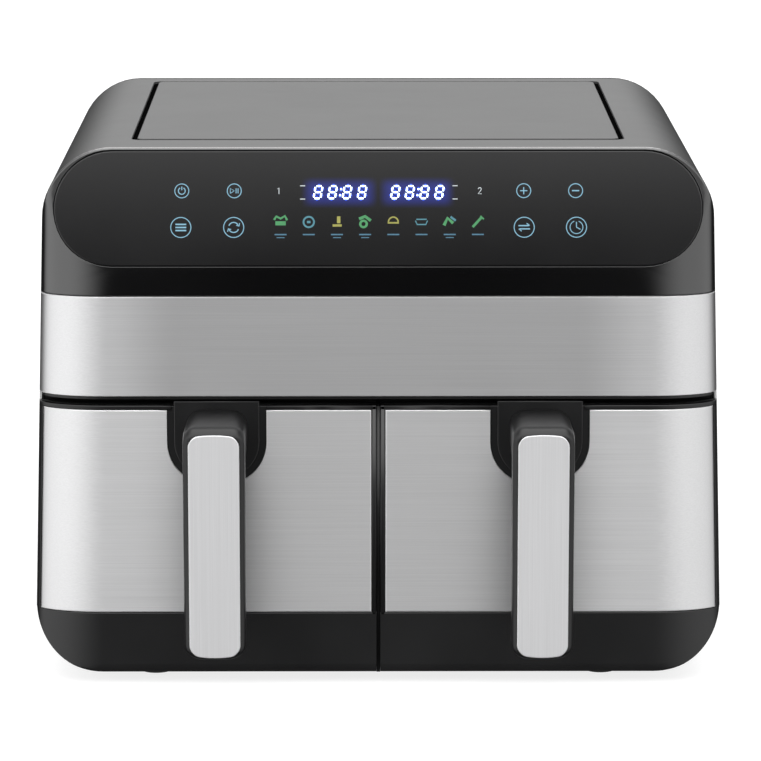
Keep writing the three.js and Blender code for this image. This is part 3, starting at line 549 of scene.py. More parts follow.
def upper_outline(inset, z_cut):
    """Open outline from the left side at z_cut over the top to the right side, moved in by inset."""
    half = BASE_HALF - inset
    radius = CORNER_R - inset
    top = TOP_Z - inset
    wall_x = TRAY_X / share(TOP_Z)
    tray = np.concatenate([[-half + radius], np.sort(-crowd(wall_x)), np.linspace(-0.11, 0.11, 5),
                           crowd(wall_x), [half - radius]])
    drop = math.asin(min(1.0, (BASE_Z + CORNER_R - z_cut) / radius))
    foot = arc(-half + radius, BASE_Z + CORNER_R, radius, 180 + math.degrees(drop), 180, 8)
    ends = np.concatenate([foot[:-1], line(-half, BASE_Z + CORNER_R, -half, top - radius, 4)])
    left = arc(-half + radius, top - radius, radius, 180, 90, 16)
    right = arc(half - radius, top - radius, radius, 90, 0, 16)
    flat = np.stack([tray, np.full(len(tray), top)], axis=1)
    return np.concatenate([ends[:-1], left[:-1], flat, right[1:], (ends * [-1, 1])[::-1][1:]])


def tray_sink(x, y):
    """Depth of the tray: full inside a rounded rectangle, none outside, by its signed distance."""
    cx, cy = np.abs(x) - (TRAY_X - TRAY_R), np.abs(y - (TRAY_FRONT + TRAY_BACK) / 2)
    cy = cy - ((TRAY_BACK - TRAY_FRONT) / 2 - TRAY_R)
    outside = np.hypot(np.maximum(cx, 0), np.maximum(cy, 0))
    away = outside + np.minimum(np.maximum(cx, cy), 0) - TRAY_R
    return TRAY_DEEP * np.clip(0.5 - away / (0.25 * MM), 0, 1)


def carried(outline, profile):
    """Carries a profile of (inset, y) along outline(inset): row i is a point of the outline,
    column j a point of the profile, and x is narrowed by height."""
    columns = []
    for inset, y in profile:
        path = outline(inset)
        x = path[:, 0] * share(path[:, 1])
        columns.append(np.stack([x, np.full(len(path), y), path[:, 1]], axis=1))
    return np.stack(columns, axis=1)


def shell_profile(y0, y1, radius):
    """Closed section of a thin sleeve: rounded front edge, outside, rounded rear edge, inside."""
    front = [(i, y0 + d) for i, d in fillet(radius)]
    back = [(i, y1 - d) for i, d in fillet(radius)[::-1]]
    rows = np.concatenate([(2 * TRAY_FRONT - crowd(TRAY_FRONT))[::-1],
                           np.linspace(TRAY_FRONT, TRAY_BACK, 8)[1:-1], crowd(TRAY_BACK)])
    rows = np.concatenate([[y0 + radius + 0.3 * MM], rows, [y1 - radius - 0.3 * MM]])
    outside = [(0.0, y) for y in rows]
    inside = [(WALL, y1), (WALL, y1 - 4 * MM), (WALL, y0 + 4 * MM), (WALL, y0)]
    return front + outside + back + inside


EDGE_R = 1.5 * MM
shell_points = carried(lambda i: upper_outline(i, PAN_TOP_Z + 0.3 * MM),
                       shell_profile(SHELL_Y, SHELL_BACK_Y, EDGE_R))
flat_top = shell_points[..., 2] > TOP_Z - WALL - 0.01 * MM
shell_points[..., 2] -= flat_top * tray_sink(shell_points[..., 0], shell_points[..., 1])
make("housing_shell", [grid(shell_points, wrap=True, cap_start=True, cap_end=True)], SHELL,
     "housing", ["outer_housing"])
print("shell points", shell_points.shape)

# %% [markdown]
# ### The highlighted edge
# The front rim of the sleeve is brighter than its sides: a painted highlight, a paler colour under
# a strong coat, for the light the rounded edge catches. It is a separate thin skin that rides a hair above
# the rounded edge.


# %% Highlighted edge
def edge_profile():
    """Closed section of the highlight skin: an arc just above the sleeve's rounded front edge,
    from the face round to the outside, and an arc just under it on the way back."""
    rise = 0.05 * MM
    under = 0.25 * MM
    angle = np.radians(np.linspace(4, 86, 9))
    section = []
    for radius, turn in ((EDGE_R + rise, angle), (EDGE_R - under, angle[::-1])):
        inset, y = EDGE_R - radius * np.sin(turn), SHELL_Y + EDGE_R - radius * np.cos(turn)
        section += [np.stack([inset, y], axis=1)]
    return np.concatenate(section)


edge_points = carried(lambda i: upper_outline(i, PAN_TOP_Z + 0.3 * MM), edge_profile())
make("polished_edge", [grid(edge_points, wrap=True, cap_start=True, cap_end=True)], EDGE, "housing")
print("edge points", edge_points.shape)

# %% [markdown]
# ## Flat plates with rounded edges
# Many pieces are plates: the top plate, the touch panel, the handle inlays. Each is built of
# loops. The side wall comes first, then the rounded edge, then loops that shrink to the middle.


# %% Plates
def rounded_loop(x0, x1, z0, z1, radius, inset=0.0, count=10, between=0):
    """Closed loop round a rounded rectangle moved in by inset, with points between the corners."""
    r = max(radius - inset, 0.05 * MM)
    x0, x1, z0, z1 = x0 + inset, x1 - inset, z0 + inset, z1 - inset
    bends = [arc(x1 - r, z1 - r, r, 0, 90, count), arc(x0 + r, z1 - r, r, 90, 180, count),
             arc(x0 + r, z0 + r, r, 180, 270, count), arc(x1 - r, z0 + r, r, 270, 360, count)]
    loop = []
    for bend, after in zip(bends, bends[1:] + bends[:1]):
        loop += [bend, line(*bend[-1], *after[0], between + 2)[1:-1]]
    return np.concatenate(loop)


def plate(loop, thick, radius, reach, place, inner=6):
    """A plate from loop(inset). Columns follow the loop; rows go up the wall, round the edge and
    in to the middle, reach being the inset of the last loop. place(loop, drop) gives 3-D points."""
    steps = [(0.0, thick), (0.0, radius * 1.2)]
    steps += [(i, d) for i, d in fillet(radius)[::-1]]
    steps += [(radius + 0.2 * MM, 0.0)]
    steps += [(i, 0.0) for i in np.linspace(radius + 0.2 * MM, reach, inner)[1:]]
    return np.stack([place(loop(i), d) for i, d in steps])


def lying(top):
    """Places a loop drawn in X and Y at a height, drop going down."""
    return lambda p, d: np.stack([p[:, 0], p[:, 1], np.full(len(p), top - d)], axis=1)

# %% [markdown]
# ### The top plate
# The plate is a separate moulding that drops into the tray. Its sides reach down to the tray,
# and its edge is only just rounded, so the groove around it stays crisp.

# %% Top plate
top_loop = lambda i: rounded_loop(-plate_high.x + FLANGE, plate_high.x - FLANGE, plate_low.y + FLANGE,
                                  plate_high.y - FLANGE, 4 * MM, i)
top_points = plate(top_loop, TRAY_DEEP, 0.5 * MM, 120 * MM, lying(plate_high.z + 0.2 * MM))
make("top_plate_skin", [grid(top_points, wrap=True, cap_start=True, cap_end=True)], SHELL, "housing",
     ["top_plate"])
print("top plate at z", round(plate_high.z, 4))

# %% [markdown]
# ### Painted shade in the groove
# Between the plate and the tray runs a narrow groove. On the real thing the shade inside the
# groove makes it read as a black line, so a matte black strip lies at the bottom of it as
# painted shade.


# %% Groove shade strip
def groove_shade_points():
    """Closed strip that fills the bottom of the groove: rows are the section's four corners."""
    shade_top = TOP_Z - 1.3 * MM
    inner = top_loop(0.3 * MM)
    outer = rounded_loop(-TRAY_X, TRAY_X, TRAY_FRONT, TRAY_BACK, 4 * MM, -0.2 * MM)
    shade_low = shade_top - 2 * MM
    rows = [(outer, shade_low), (outer, shade_top), (inner, shade_top), (inner, shade_low), (outer, shade_low)]
    return np.stack([np.stack([p[:, 0], p[:, 1], np.full(len(p), z)], axis=1) for p, z in rows])


make("groove_seal", [grid(groove_shade_points(), wrap=True)], GROOVE_SHADE, "housing")
print("groove shade at z", round(TOP_Z - 1.3 * MM, 4))

# %% [markdown]
# ## The fascia and the touch panel
# The gloss fascia fills the front above the steel band. Its lower strip follows the rounded
# corners; above that a plane leans back and carries the touch panel, a long plate with round
# ends. The fascia is a grid between two loops: its outer edge and the pocket round the panel.

# %% Leaning plane
panel_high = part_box("control_panel")[1]
PANEL_HALF = panel_high.x
PANEL_Z = FASCIA_Z + PANEL_START
PANEL_H = 64.4 * MM
PANEL_CROWN = 0.45 * MM


def on_plane(p, v):
    """Point on the leaning plane: x stays, height w along the plane, v behind it."""
    w = p[:, 1]
    return np.stack([p[:, 0], FRONT_Y + w * math.sin(LEAN) + v * math.cos(LEAN),
                     PANEL_Z + w * math.cos(LEAN) - v * math.sin(LEAN)], axis=1)


def crown(w):
    """Rise of the slightly bulging panel: a parabola over its height, nothing at both edges."""
    return PANEL_CROWN * np.clip(1 - (2 * w / PANEL_H - 1) ** 2, 0, 1)


def on_crown(p, v):
    """Point on the bulging panel, v behind its surface."""
    return on_plane(p, v - crown(p[:, 1]))


CORNER_STEPS = 12
END_STEPS = 22

# %% [markdown]
# ### The fascia's two outlines
# Both loops must have the same number of points in the same order, because the fascia is
# stretched between them: the panel's long shape inside and the body's outline outside.


# %% Fascia outlines
def stadium(spread_by):
    """Closed loop with half-circle ends, grown by spread_by, starting at the lower left."""
    r = PANEL_H / 2 + spread_by
    cx, cw = PANEL_HALF - PANEL_H / 2, PANEL_H / 2
    low = line(-cx, cw - r, cx, cw - r, 2 * CORNER_STEPS + 7)
    high = line(cx, cw + r, -cx, cw + r, 9)
    return np.concatenate([low[:-1], arc(cx, cw, r, -90, 90, END_STEPS)[:-1], high[:-1],
                           arc(-cx, cw, r, 90, 270, END_STEPS)[:-1]])


def fascia_outline(inset):
    """Closed outer loop of the fascia, matched point for point with the stadium."""
    half, r, top = BASE_HALF - inset, CORNER_R - inset, TOP_Z - inset
    low_z = FASCIA_Z + inset
    turn = np.linspace(0, math.pi / 2, CORNER_STEPS + 1)
    bend = BASE_HALF - PLAN_X + (PLAN_X - inset) * np.sin(turn)
    flat = np.linspace(-BASE_HALF + PLAN_X, BASE_HALF - PLAN_X, 7)
    low_x = np.concatenate([-bend[::-1], flat[1:-1], bend])
    low = np.stack([low_x, np.full(len(low_x), low_z)], axis=1)
    side = line(half, low_z, half, top - r, 9)
    right = np.concatenate([side[:-1], arc(half - r, top - r, r, 0, 90, 14)])
    high = line(half - r, top, -half + r, top, 9)
    left = right[::-1] * [-1, 1]
    return np.concatenate([low[:-1], right[:-1], high[:-1], left[:-1]])

# %% [markdown]
# ### The fascia's surface
# The moulding is one piece: an upright strip above the band that turns into a leaning face.
# The turn is rounded by taking a soft maximum of the two depths.


# %% Fascia and panel
def soft_max(a, b, soft):
    """The larger of two values with the crease between them rounded over a length soft."""
    return 0.5 * (a + b + np.sqrt((a - b) ** 2 + soft * soft))


def fascia_depth(x, z):
    """Depth of the fascia behind the front: the corner's ellipse or the leaning plane, whichever
    is further back."""
    lean = np.maximum((z - PANEL_Z) * math.tan(LEAN), -1)
    return np.clip(soft_max(plan_depth(x), lean, 0.5 * MM), 0, None)


def narrow(p, depth):
    """Points (x, z) at depths behind the front, with x narrowed by height."""
    return np.stack([p[:, 0] * share(p[:, 1]), FRONT_Y + depth, p[:, 1]], axis=1)


def fascia_points():
    """Rows from the pocket floor, up its wall, across the face to the outer edge and back along
    the side wall to an inner return."""
    gap = 0.35 * MM
    edge = 0.8 * MM
    pocket = stadium(gap)
    rows = [on_plane(pocket, 3.0 * MM), on_plane(pocket, 0.35 * MM)]
    inner = on_plane(stadium(gap + 0.3 * MM), 0.0)[:, [0, 2]]
    inner[:, 0] /= share(inner[:, 1])
    outer = fascia_outline(edge)
    for f in 1 - np.linspace(1, 0, 22) ** 1.7:
        p = inner + (outer - inner) * f
        rows.append(narrow(p, fascia_depth(p[:, 0], p[:, 1])))
    for inset, drop in fillet(edge, 5)[1:]:
        p = fascia_outline(inset)
        rows.append(narrow(p, np.minimum(fascia_depth(p[:, 0], p[:, 1]) + drop, PLAN_Y + 0.2 * MM)))
    for inset in (0.0, 3.0 * MM):
        p = fascia_outline(inset)
        rows.append(narrow(p, np.full(len(p), SHELL_Y - FRONT_Y - 0.3 * MM)))
    return np.stack(rows)


fascia = fascia_points()
closed = np.concatenate([fascia, fascia[:1]])
make("fascia_skin", [grid(closed, wrap=True)], GLOSS, "housing", ["front_fascia"])
panel_points = plate(lambda i: stadium(-i), 2.2 * MM, 0.6 * MM, PANEL_H / 2 - 0.1 * MM, on_crown, 9)
make("panel_skin", [grid(panel_points, wrap=True, cap_start=True, cap_end=True)], PANEL, "housing",
     ["control_panel"])
print("fascia grid", fascia.shape, "panel half length", round(PANEL_HALF, 4))

# %% [markdown]
# ## Marks on the panel
# Lit digits and printed signs are thin ribbons laid just above the panel. A ribbon follows a
# polyline and has its width shared out to both sides. All signs are generic: rings, arrows,
# a clock face, small food shapes and plain bars where wording would be.


# %% Ribbons
LIFT = 0.04 * MM


def ribbon(points, width, closed=False, lift=LIFT):
    """Flat strip along a polyline (x, w): each point moves half a width along the line's normal."""
    p = np.asarray(points, float) * MM
    ahead = np.roll(p, -1, axis=0) if closed else np.concatenate([p[1:], p[-1:]])
    behind = np.roll(p, 1, axis=0) if closed else np.concatenate([p[:1], p[:-1]])
    along = ahead - behind
    along /= np.maximum(np.linalg.norm(along, axis=1, keepdims=True), 1e-9)
    side = np.stack([-along[:, 1], along[:, 0]], axis=1) * width * MM / 2
    strip = np.stack([on_crown(p + side, -lift), on_crown(p - side, -lift)])
    if closed:
        strip = np.concatenate([strip, strip[:, :1]], axis=1)
    return grid(strip)


def ring(cx, cw, radius, width, start=0, stop=360):
    """A circle or part of one as a ribbon."""
    whole = stop - start >= 360
    count = 28 if whole else 16
    p = arc(cx, cw, radius, start, stop - (360 / count if whole else 0), count)
    return ribbon(p, width, closed=whole)


def stroke(cx, cw, *points, width=0.55):
    """A polyline whose points are given from the sign's own centre."""
    return ribbon([(cx + x, cw + w) for x, w in points], width)


def digit_eight(cx, cw, width, height, thick, lift):
    """Seven bars of a lit digit, leaning to the right: x gains a share of the height."""
    lean = 0.17
    h, b, cut = height / 2, width / 2, thick * 0.62
    bars = [[(-b + cut, w), (b - cut, w)] for w in (h, 0, -h)]
    bars += [[(x, w0 + cut), (x, w0 + h - cut)] for x in (-b, b) for w0 in (-h, 0)]
    return [ribbon([(cx + x + lean * w, cw + w) for x, w in bar], thick, lift=lift) for bar in bars]


def clock(cx, cw, thick, lift):
    """Four digits with a colon between the pairs."""
    parts = []
    for offset in (-12.2, -4.2, 3.9, 12.2):
        parts += digit_eight(cx + offset, cw, 3.9, 6.9, thick, lift)
    for w in (-1.7, 1.7):
        x = cx + 0.3 + 0.17 * w
        parts.append(ribbon([(x - 0.5, cw + w), (x + 0.5, cw + w)], thick, lift=lift))
    return parts

# %% [markdown]
# ### The displays
# Every segment is lit, so each digit is an eight. Wider blue ribbons under the white ones are
# a painted glow, the blue fringe of light round the bars.

# %% Display digits
DIGIT_BAR = 0.88
HALO_BAR = 2.3
digits = clock(-21.2, DIGIT_ROW, DIGIT_BAR, 2 * LIFT) + clock(21.7, DIGIT_ROW, DIGIT_BAR, 2 * LIFT)
# painted glow: wide blue ribbons under the lit bars
halo = clock(-21.2, DIGIT_ROW, HALO_BAR, LIFT) + clock(21.7, DIGIT_ROW, HALO_BAR, LIFT)
make("display_digits", digits, LIT_WHITE, "housing", turn=False)
make("display_halo", halo, LIT_HALO, "housing", turn=False)
print("digit bars:", len(digits))

# %% [markdown]
# ### Touch signs
# Each sign sits in a ring. The upper four are a power sign, play and pause, more and less; the
# lower four are settings, turning over, matching and time. A stroke is a list of points, and
# the whole sign is a list of strokes given from the centre of its ring.

# %% Touch signs
UPPER_ROW = 42.0
LOWER_ROW = 21.6
signs = []
for x in (-109.0, -79.9, 80.7, 109.5):
    signs.append(ring(x, UPPER_ROW, 3.9, 0.5))
for x in (-109.5, -80.2, 80.9, 109.9):
    signs.append(ring(x, LOWER_ROW, 5.6, 0.5))
signs += [ring(-109.0, UPPER_ROW, 1.9, 0.55, 120, 420), stroke(-109.0, UPPER_ROW, (0, 0.4), (0, 2.4))]
signs += [stroke(-79.9, UPPER_ROW, (-2.2, -1.4), (-2.2, 1.4), (0.0, 0.0), (-2.2, -1.4), width=0.45)]
signs += [stroke(-79.9, UPPER_ROW, (x, -1.4), (x, 1.4), width=0.5) for x in (1.0, 2.1)]
signs += [stroke(80.7, UPPER_ROW, (-2, 0), (2, 0)), stroke(80.7, UPPER_ROW, (0, -2), (0, 2))]
signs += [stroke(109.5, UPPER_ROW, (-2, 0), (2, 0), width=0.7)]
signs += [stroke(-109.5, LOWER_ROW, (-3, w), (3, w), width=0.8) for w in (1.7, 0, -1.7)]
signs += [ring(-80.2, LOWER_ROW, 2.8, 0.6, 20, 160), ring(-80.2, LOWER_ROW, 2.8, 0.6, 200, 340)]
for k in (1, -1):
    signs += [stroke(-80.2, LOWER_ROW, (k * 1.4, k * 1.2), (k * 3.0, k * 0.7), (k * 3.3, k * 2.4))]
    signs += [stroke(80.9, LOWER_ROW, (k * -3.2, k * 0.9), (k * 2.6, k * 0.9), width=0.7)]
    signs += [stroke(80.9, LOWER_ROW, (k * 1.4, k * 2.2), (k * 3.0, k * 0.9))]
signs += [stroke(109.9, LOWER_ROW, (0, 3.0), (0, 0), (2.2, -1.2))]
signs += [ring(109.9, LOWER_ROW, 3.6, 0.45, 110, 430)]
make("touch_signs", signs, MARK_BLUE, "housing", turn=False)
print("strokes of the touch signs:", len(signs))

# %% [markdown]
# ### Zone numbers
# A small one and a small two tell the drawers apart. Short bars beside the displays stand for
# the marks that say which value is shown.

# %% Zone numbers
numerals = [stroke(-55.2, UPPER_ROW, (-0.7, 1.0), (0.1, 1.7), (0.1, -1.8), width=0.4)]
two = [(-0.9, 1.0), (-0.3, 1.7), (0.5, 1.7), (0.9, 1.0), (0.6, 0.2), (-0.9, -1.7), (1.0, -1.7)]
numerals += [stroke(56.3, UPPER_ROW, *two, width=0.4)]
numerals += [stroke(x, w, (-1.4, 0), (1.4, 0), width=0.5) for x in (-42.0, 42.6) for w in (44.8, 37.4)]
make("numerals", numerals, MARK_WHITE, "housing", turn=False)
print("strokes of the numbers:", len(numerals))

# %% [markdown]
# ### Food signs
# Eight small signs of foods in three muted colours, drawn as thick strokes, with bars below
# in place of wording.

# %% Food signs
FOOD_ROW = 24.6
LABEL_ROW = 17.6
FOOD_X = np.linspace(-54.2, 55.2, 8)
FOOD_SIZE = 1.2


def food(which, *points, width):
    """A stroke of a food sign, drawn from the sign's own centre and enlarged."""
    return stroke(FOOD_X[which], FOOD_ROW, *[(FOOD_SIZE * x, FOOD_SIZE * w) for x, w in points], width=width)


green = [food(0, (-3, 1), (-2, 2.6), (0, 1.6), (2, 2.8), (3, 0.8), width=1.3)]
green += [food(0, (-2.4, -0.6), (2.4, -0.6), width=2.3)]
green += [food(3, (-2.8, 1.4), (0, 2.6), (2.6, 0.6), width=1.7)]
green += [ring(FOOD_X[3] - 0.9, FOOD_ROW - 1.1, 1.8, 1.3)]
green += [food(6, (-2.6, -1.6), (-1.0, 1.8), (1.6, -0.6), width=1.8)]
green += [food(7, (-2.4, -2.4), (1.6, 2.0), width=1.4)]
green += [food(7, (1.2, 2.8), (2.8, 1.2), width=0.8)]
teal = [ring(FOOD_X[1], FOOD_ROW, 2.9, 1.0), food(1, (-0.8, 0), (0.8, 0), width=1.3)]
teal += [food(6, (0.4, 2.4), (2.8, 0.6), width=1.2)]
teal += [food(5, (-2.8, 0.6), (-2.0, -1.2), (2.0, -1.2), (2.8, 0.6), width=0.7)]
teal += [food(5, (-2.4, 1.2), (2.4, 1.2), width=0.7)]
yellow = [food(2, (0.8, 2.6), (0.8, -0.6), width=1.9), food(2, (-2.0, -1.6), (2.2, -1.6), width=1.3)]
yellow += [ring(FOOD_X[4], FOOD_ROW, 2.7, 0.8, 0, 180), food(4, (-2.6, -0.4), (2.6, -0.4), width=0.9)]
labels = [stroke(x, LABEL_ROW, (-3.3, 0), (3.3, 0), width=0.75) for x in FOOD_X]
labels += [stroke(x, LABEL_ROW - 1.7, (-2.2, 0), (2.2, 0), width=0.5) for x in FOOD_X[[0, 2, 3, 6]]]
make("food_signs_green", green, MARK_GREEN, "housing", turn=False)
make("food_signs_teal", teal, MARK_TEAL, "housing", turn=False)
make("label_bars", labels, MARK_LABEL, "housing", turn=False)
make("food_signs_yellow", yellow, MARK_YELLOW, "housing", turn=False)
print("marks:", len(digits) + len(signs) + len(green) + len(teal) + len(yellow))

# %% [markdown]
# ## The steel band
# A strip of brushed sheet bent round both front corners. Its section is a thin bar with
# slightly rounded edges, carried along the front's plan from one side to the other.


# %% Band
FLAT_STEPS = 6
BEND_STEPS = 22


def half_path(x0, inset):
    """Right half of the front's plan from x0 outwards: straight, then along the ellipse
    x = start + a sin t, depth = inset + b (1 - cos t)."""
    t = np.radians(np.linspace(0, 90, BEND_STEPS))
    bend_x = BASE_HALF - PLAN_X + (PLAN_X - inset) * np.sin(t)
    bend_d = inset + (PLAN_Y - inset) * (1 - np.cos(t))
    flat_x = np.linspace(x0, BASE_HALF - PLAN_X, FLAT_STEPS)[:-1]
    return np.concatenate([flat_x, bend_x]), np.concatenate([np.full(len(flat_x), inset), bend_d])


def bar_profile(z0, z1, outer, inner, radius):
    """Closed (inset, z) section of a bar between two insets, its outer edges rounded."""
    low = [(outer + d, z0 + i) for i, d in fillet(radius)[::-1]]
    high = [(outer + d, z1 - i) for i, d in fillet(radius)]
    keep = 0.3 * MM
    face = [(outer, z0 + radius + keep), (outer, z1 - radius - keep)]
    return low + face + high + [(inner, z1), (inner, z0)]


def along_front(profile, x0, both=False):
    """Carries an (inset, z) section along the front's plan."""
    columns = []
    for inset, z in profile:
        x, d = half_path(x0, inset)
        if both:
            x, d = np.concatenate([-x[::-1], x[1:]]), np.concatenate([d[::-1], d[1:]])
        columns.append(np.stack([x * share(z), FRONT_Y + d, np.full(len(x), z)], axis=1))
    return grid(np.stack(columns, axis=1), wrap=True, cap_start=True, cap_end=True)


band_section = bar_profile(BAND_LOW_Z, BAND_HIGH_Z, 0.0, 1.15 * MM, 0.35 * MM)
make("steel_band_skin", [along_front(band_section, 0.0, both=True)], BAND_STEEL, "housing",
     ["steel_band"])
print("band from z", round(BAND_LOW_Z, 4), "to", round(BAND_HIGH_Z, 4))

# %% [markdown]
# ## The drawer fronts
# Each drawer front is a black moulding: a core behind the steel, a narrow rim along the top,
# the middle and the outer side, a chin below whose edge rolls under, and return walls that
# reach back to the tub. The steel skin has a U-shaped notch for the handle's lug.

# %% Drawer mouldings
RIM = 2.6 * MM
CHIN_TOP = SKIN_LOW_Z - 0.3 * MM
CHIN_BASE_Z = BASE_Z - 0.5 * MM
SKIN_TOP = DRAWER_TOP_Z - RIM
SKIN_FAR = 191.9 * MM
NOTCH_HALF = 27.8 * MM
NOTCH_LOW = DRAWER_TOP_Z - 45.0 * MM
NOTCH_R = 24.0 * MM


def chin():
    """Columns follow the lower outline outwards, straight then round the corner; rows go down
    the face, round the rolled edge and back along the underside."""
    roll = 4.4 * MM
    turn = math.degrees(math.acos((CHIN_BASE_Z + CORNER_R - CHIN_TOP) / CORNER_R))

    def outline(inset):
        """Lower outline moved in by inset: straight, then round the corner."""
        flat = np.linspace(DRAWER_NEAR_X, BASE_HALF - CORNER_R, 9)[:-1]
        corner = arc(BASE_HALF - CORNER_R, CHIN_BASE_Z + CORNER_R, CORNER_R - inset, -90, -90 + turn, 20)
        flat = np.stack([flat, np.full(len(flat), CHIN_BASE_Z + inset)], axis=1)
        return np.concatenate([flat, corner])

    rows = []
    face = outline(roll)
    top = np.stack([face[:, 0], np.full(len(face), CHIN_TOP)], axis=1)
    face[:, 1] = np.minimum(face[:, 1], CHIN_TOP)
    rows.append((top, plan_depth(top[:, 0]) + 5 * MM))
    rows.append((top, plan_depth(top[:, 0]) + 0.4 * MM))
    for f in (0.012, 0.025, 0.04, 0.3, 0.6, 0.97, 1.0):
        p = top + (face - top) * f
        rows.append((p, plan_depth(p[:, 0])))
    for inset, drop in fillet(roll, 9)[1:]:
        p = outline(inset)
        p[:, 1] = np.minimum(p[:, 1], CHIN_TOP)
        rows.append((p, np.minimum(soft_max(plan_depth(p[:, 0]), 0.45 * drop, 0.3 * MM), PLAN_Y)))
    back = outline(0.0)
    rows.append((back, np.full(len(back), PLAN_Y + 0.2 * MM)))
    return grid(np.stack([narrow(p, d) for p, d in rows]))

# %% [markdown]
# ### The return walls
# Behind the face a drawer front goes back like a shallow tray, which gives it stiffness and
# closes the gap to the body. The wall follows the whole outline.


# %% Return walls
def return_walls():
    """Wall round the drawer front's whole outline, from just behind the face back to the tub."""

    def outline(inset):
        """Closed outline: underside, corner, side, top with its bend in plan, inner side."""
        half, near = BASE_HALF - inset, DRAWER_NEAR_X + inset
        low = line(near, CHIN_BASE_Z + inset, BASE_HALF - CORNER_R, CHIN_BASE_Z + inset, 5)
        corner = arc(BASE_HALF - CORNER_R, CHIN_BASE_Z + CORNER_R, CORNER_R - inset, -90, 0, 20)
        side = line(half, CHIN_BASE_Z + CORNER_R, half, DRAWER_TOP_Z - inset, 4)
        high = line(BASE_HALF - PLAN_X, DRAWER_TOP_Z - inset, near, DRAWER_TOP_Z - inset, 5)
        bend_x = BASE_HALF - PLAN_X + (PLAN_X - inset) * np.sin(np.radians(np.linspace(90, 0, 12)))
        top_bend = np.stack([bend_x, np.full(12, DRAWER_TOP_Z - inset)], axis=1)
        inner = line(near, DRAWER_TOP_Z - inset, near, CHIN_BASE_Z + inset, 5)
        return np.concatenate([low[:-1], corner[:-1], side[:-1], top_bend[:-1], high[:-1], inner[:-1]])

    rows = []
    for inset, back in ((0.0, 0), (0.0, 1), (4 * MM, 1), (4 * MM, 0), (0.0, 0)):
        p = outline(inset)
        front = np.minimum(plan_depth(p[:, 0]) + 6.5 * MM, PLAN_Y - 0.2 * MM)
        depth = np.full(len(p), PLAN_Y + 0.2 * MM) if back else front
        rows.append(narrow(p, depth))
    return grid(np.stack(rows), wrap=True)

# %% [markdown]
# ### The rims
# The steel is framed by narrow black edges of the moulding. They hide its cut edges, which
# would otherwise be sharp to the hand.


# %% Rims
def upright_bar(x0, x1, z0, z1, depth, radius):
    """Upright strip on the front plane with rounded long edges, back to a depth."""
    turns = np.linspace(0, math.pi / 2, 4)
    section = [(x0, depth), (x0, radius)]
    section += [(x0 + radius - radius * math.cos(a), radius - radius * math.sin(a)) for a in turns]
    section += [(x1 - radius + radius * math.sin(a), radius - radius * math.cos(a)) for a in turns]
    section += [(x1, radius), (x1, depth)]
    columns = np.array([[(x, FRONT_Y + d, z) for x, d in section] for z in (z0, z1)])
    return grid(columns, wrap=True, cap_start=True, cap_end=True)


def front_strip(x_from, x_to, z0, z1):
    """A straight piece of the top rim on the flat middle of the front."""
    section = bar_profile(z0, z1, 0.0, 1.6 * MM, 0.5 * MM)
    ends = np.array([[(x, FRONT_Y + i, z) for i, z in section] for x in (x_from, x_to)])
    return grid(ends, wrap=True, cap_start=True, cap_end=True)


def outer_rim():
    """Upright rim beyond the steel's outer edge, following the corner's ellipse to the side."""
    z = np.array([CHIN_TOP, CHIN_TOP + 1 * MM, (CHIN_TOP + SKIN_TOP) / 2, SKIN_TOP])
    t = np.arcsin(np.clip((SKIN_FAR + 0.3 * MM - (BASE_HALF - PLAN_X)) / PLAN_X, 0, 1))
    t = np.linspace(t, math.pi / 2, 10)
    x = BASE_HALF - PLAN_X + PLAN_X * np.sin(t)
    d = PLAN_Y * (1 - np.cos(t))
    x = np.concatenate([x[:1] - 0.1 * MM, x])
    d = np.concatenate([d[:1] + 1.6 * MM, d])
    return grid(np.stack([narrow(np.stack([x, np.full(len(x), h)], axis=1), d) for h in z]))

# %% [markdown]
# ### Both mouldings
# All the grids of one side join into one object, and the other side is its mirror image.


# %% Both drawer mouldings
def drawer_mouldings():
    """All grids of the right-hand moulding: core, rims, chin and return walls."""
    core_section = bar_profile(CHIN_TOP - 2 * MM, DRAWER_TOP_Z - 0.4 * MM, 1.1 * MM, 5 * MM, 0.3 * MM)
    core = along_front(core_section, DRAWER_NEAR_X + 0.3 * MM)
    rim_section = bar_profile(SKIN_TOP, DRAWER_TOP_Z, 0.0, 1.6 * MM, 0.5 * MM)
    top_far = along_front(rim_section, HANDLE_X + NOTCH_HALF)
    near = upright_bar(DRAWER_NEAR_X, DRAWER_NEAR_X + RIM, CHIN_TOP - 1 * MM, DRAWER_TOP_Z - 0.2 * MM,
                       6 * MM, 0.5 * MM)
    top_near = front_strip(DRAWER_NEAR_X + 0.2 * MM, HANDLE_X - NOTCH_HALF, SKIN_TOP, DRAWER_TOP_Z)
    return [core, top_far, near, top_near, outer_rim(), chin(), return_walls()]


for word, side in (("left", -1), ("right", 1)):
    make(f"drawer_moulding_{word}", for_side(drawer_mouldings(), side), SATIN, f"drawer_{word}",
         [f"drawer_front_{word}"])
print("drawer mouldings made, chin from z", round(CHIN_BASE_Z, 4), "to", round(CHIN_TOP, 4))

# %% [markdown]
# ### The frame's rib
# The front frame has an upright rib between the two drawers, set back from their faces. It
# keeps the drawers apart and stops anyone from seeing through the seam.

# %% Frame rib
RIB_HALF = 1.06 * MM
RIB_BACK = 3.0 * MM
rib = upright_bar(-RIB_HALF, RIB_HALF, CHIN_BASE_Z - 0.5 * MM, DRAWER_TOP_Z - 1 * MM, 19 * MM, 0.2 * MM)
rib["p"][..., 1] += RIB_BACK
make("frame_rib", [rib], SATIN, "housing")
print("rib", round(2000 * RIB_HALF, 2), "mm wide")

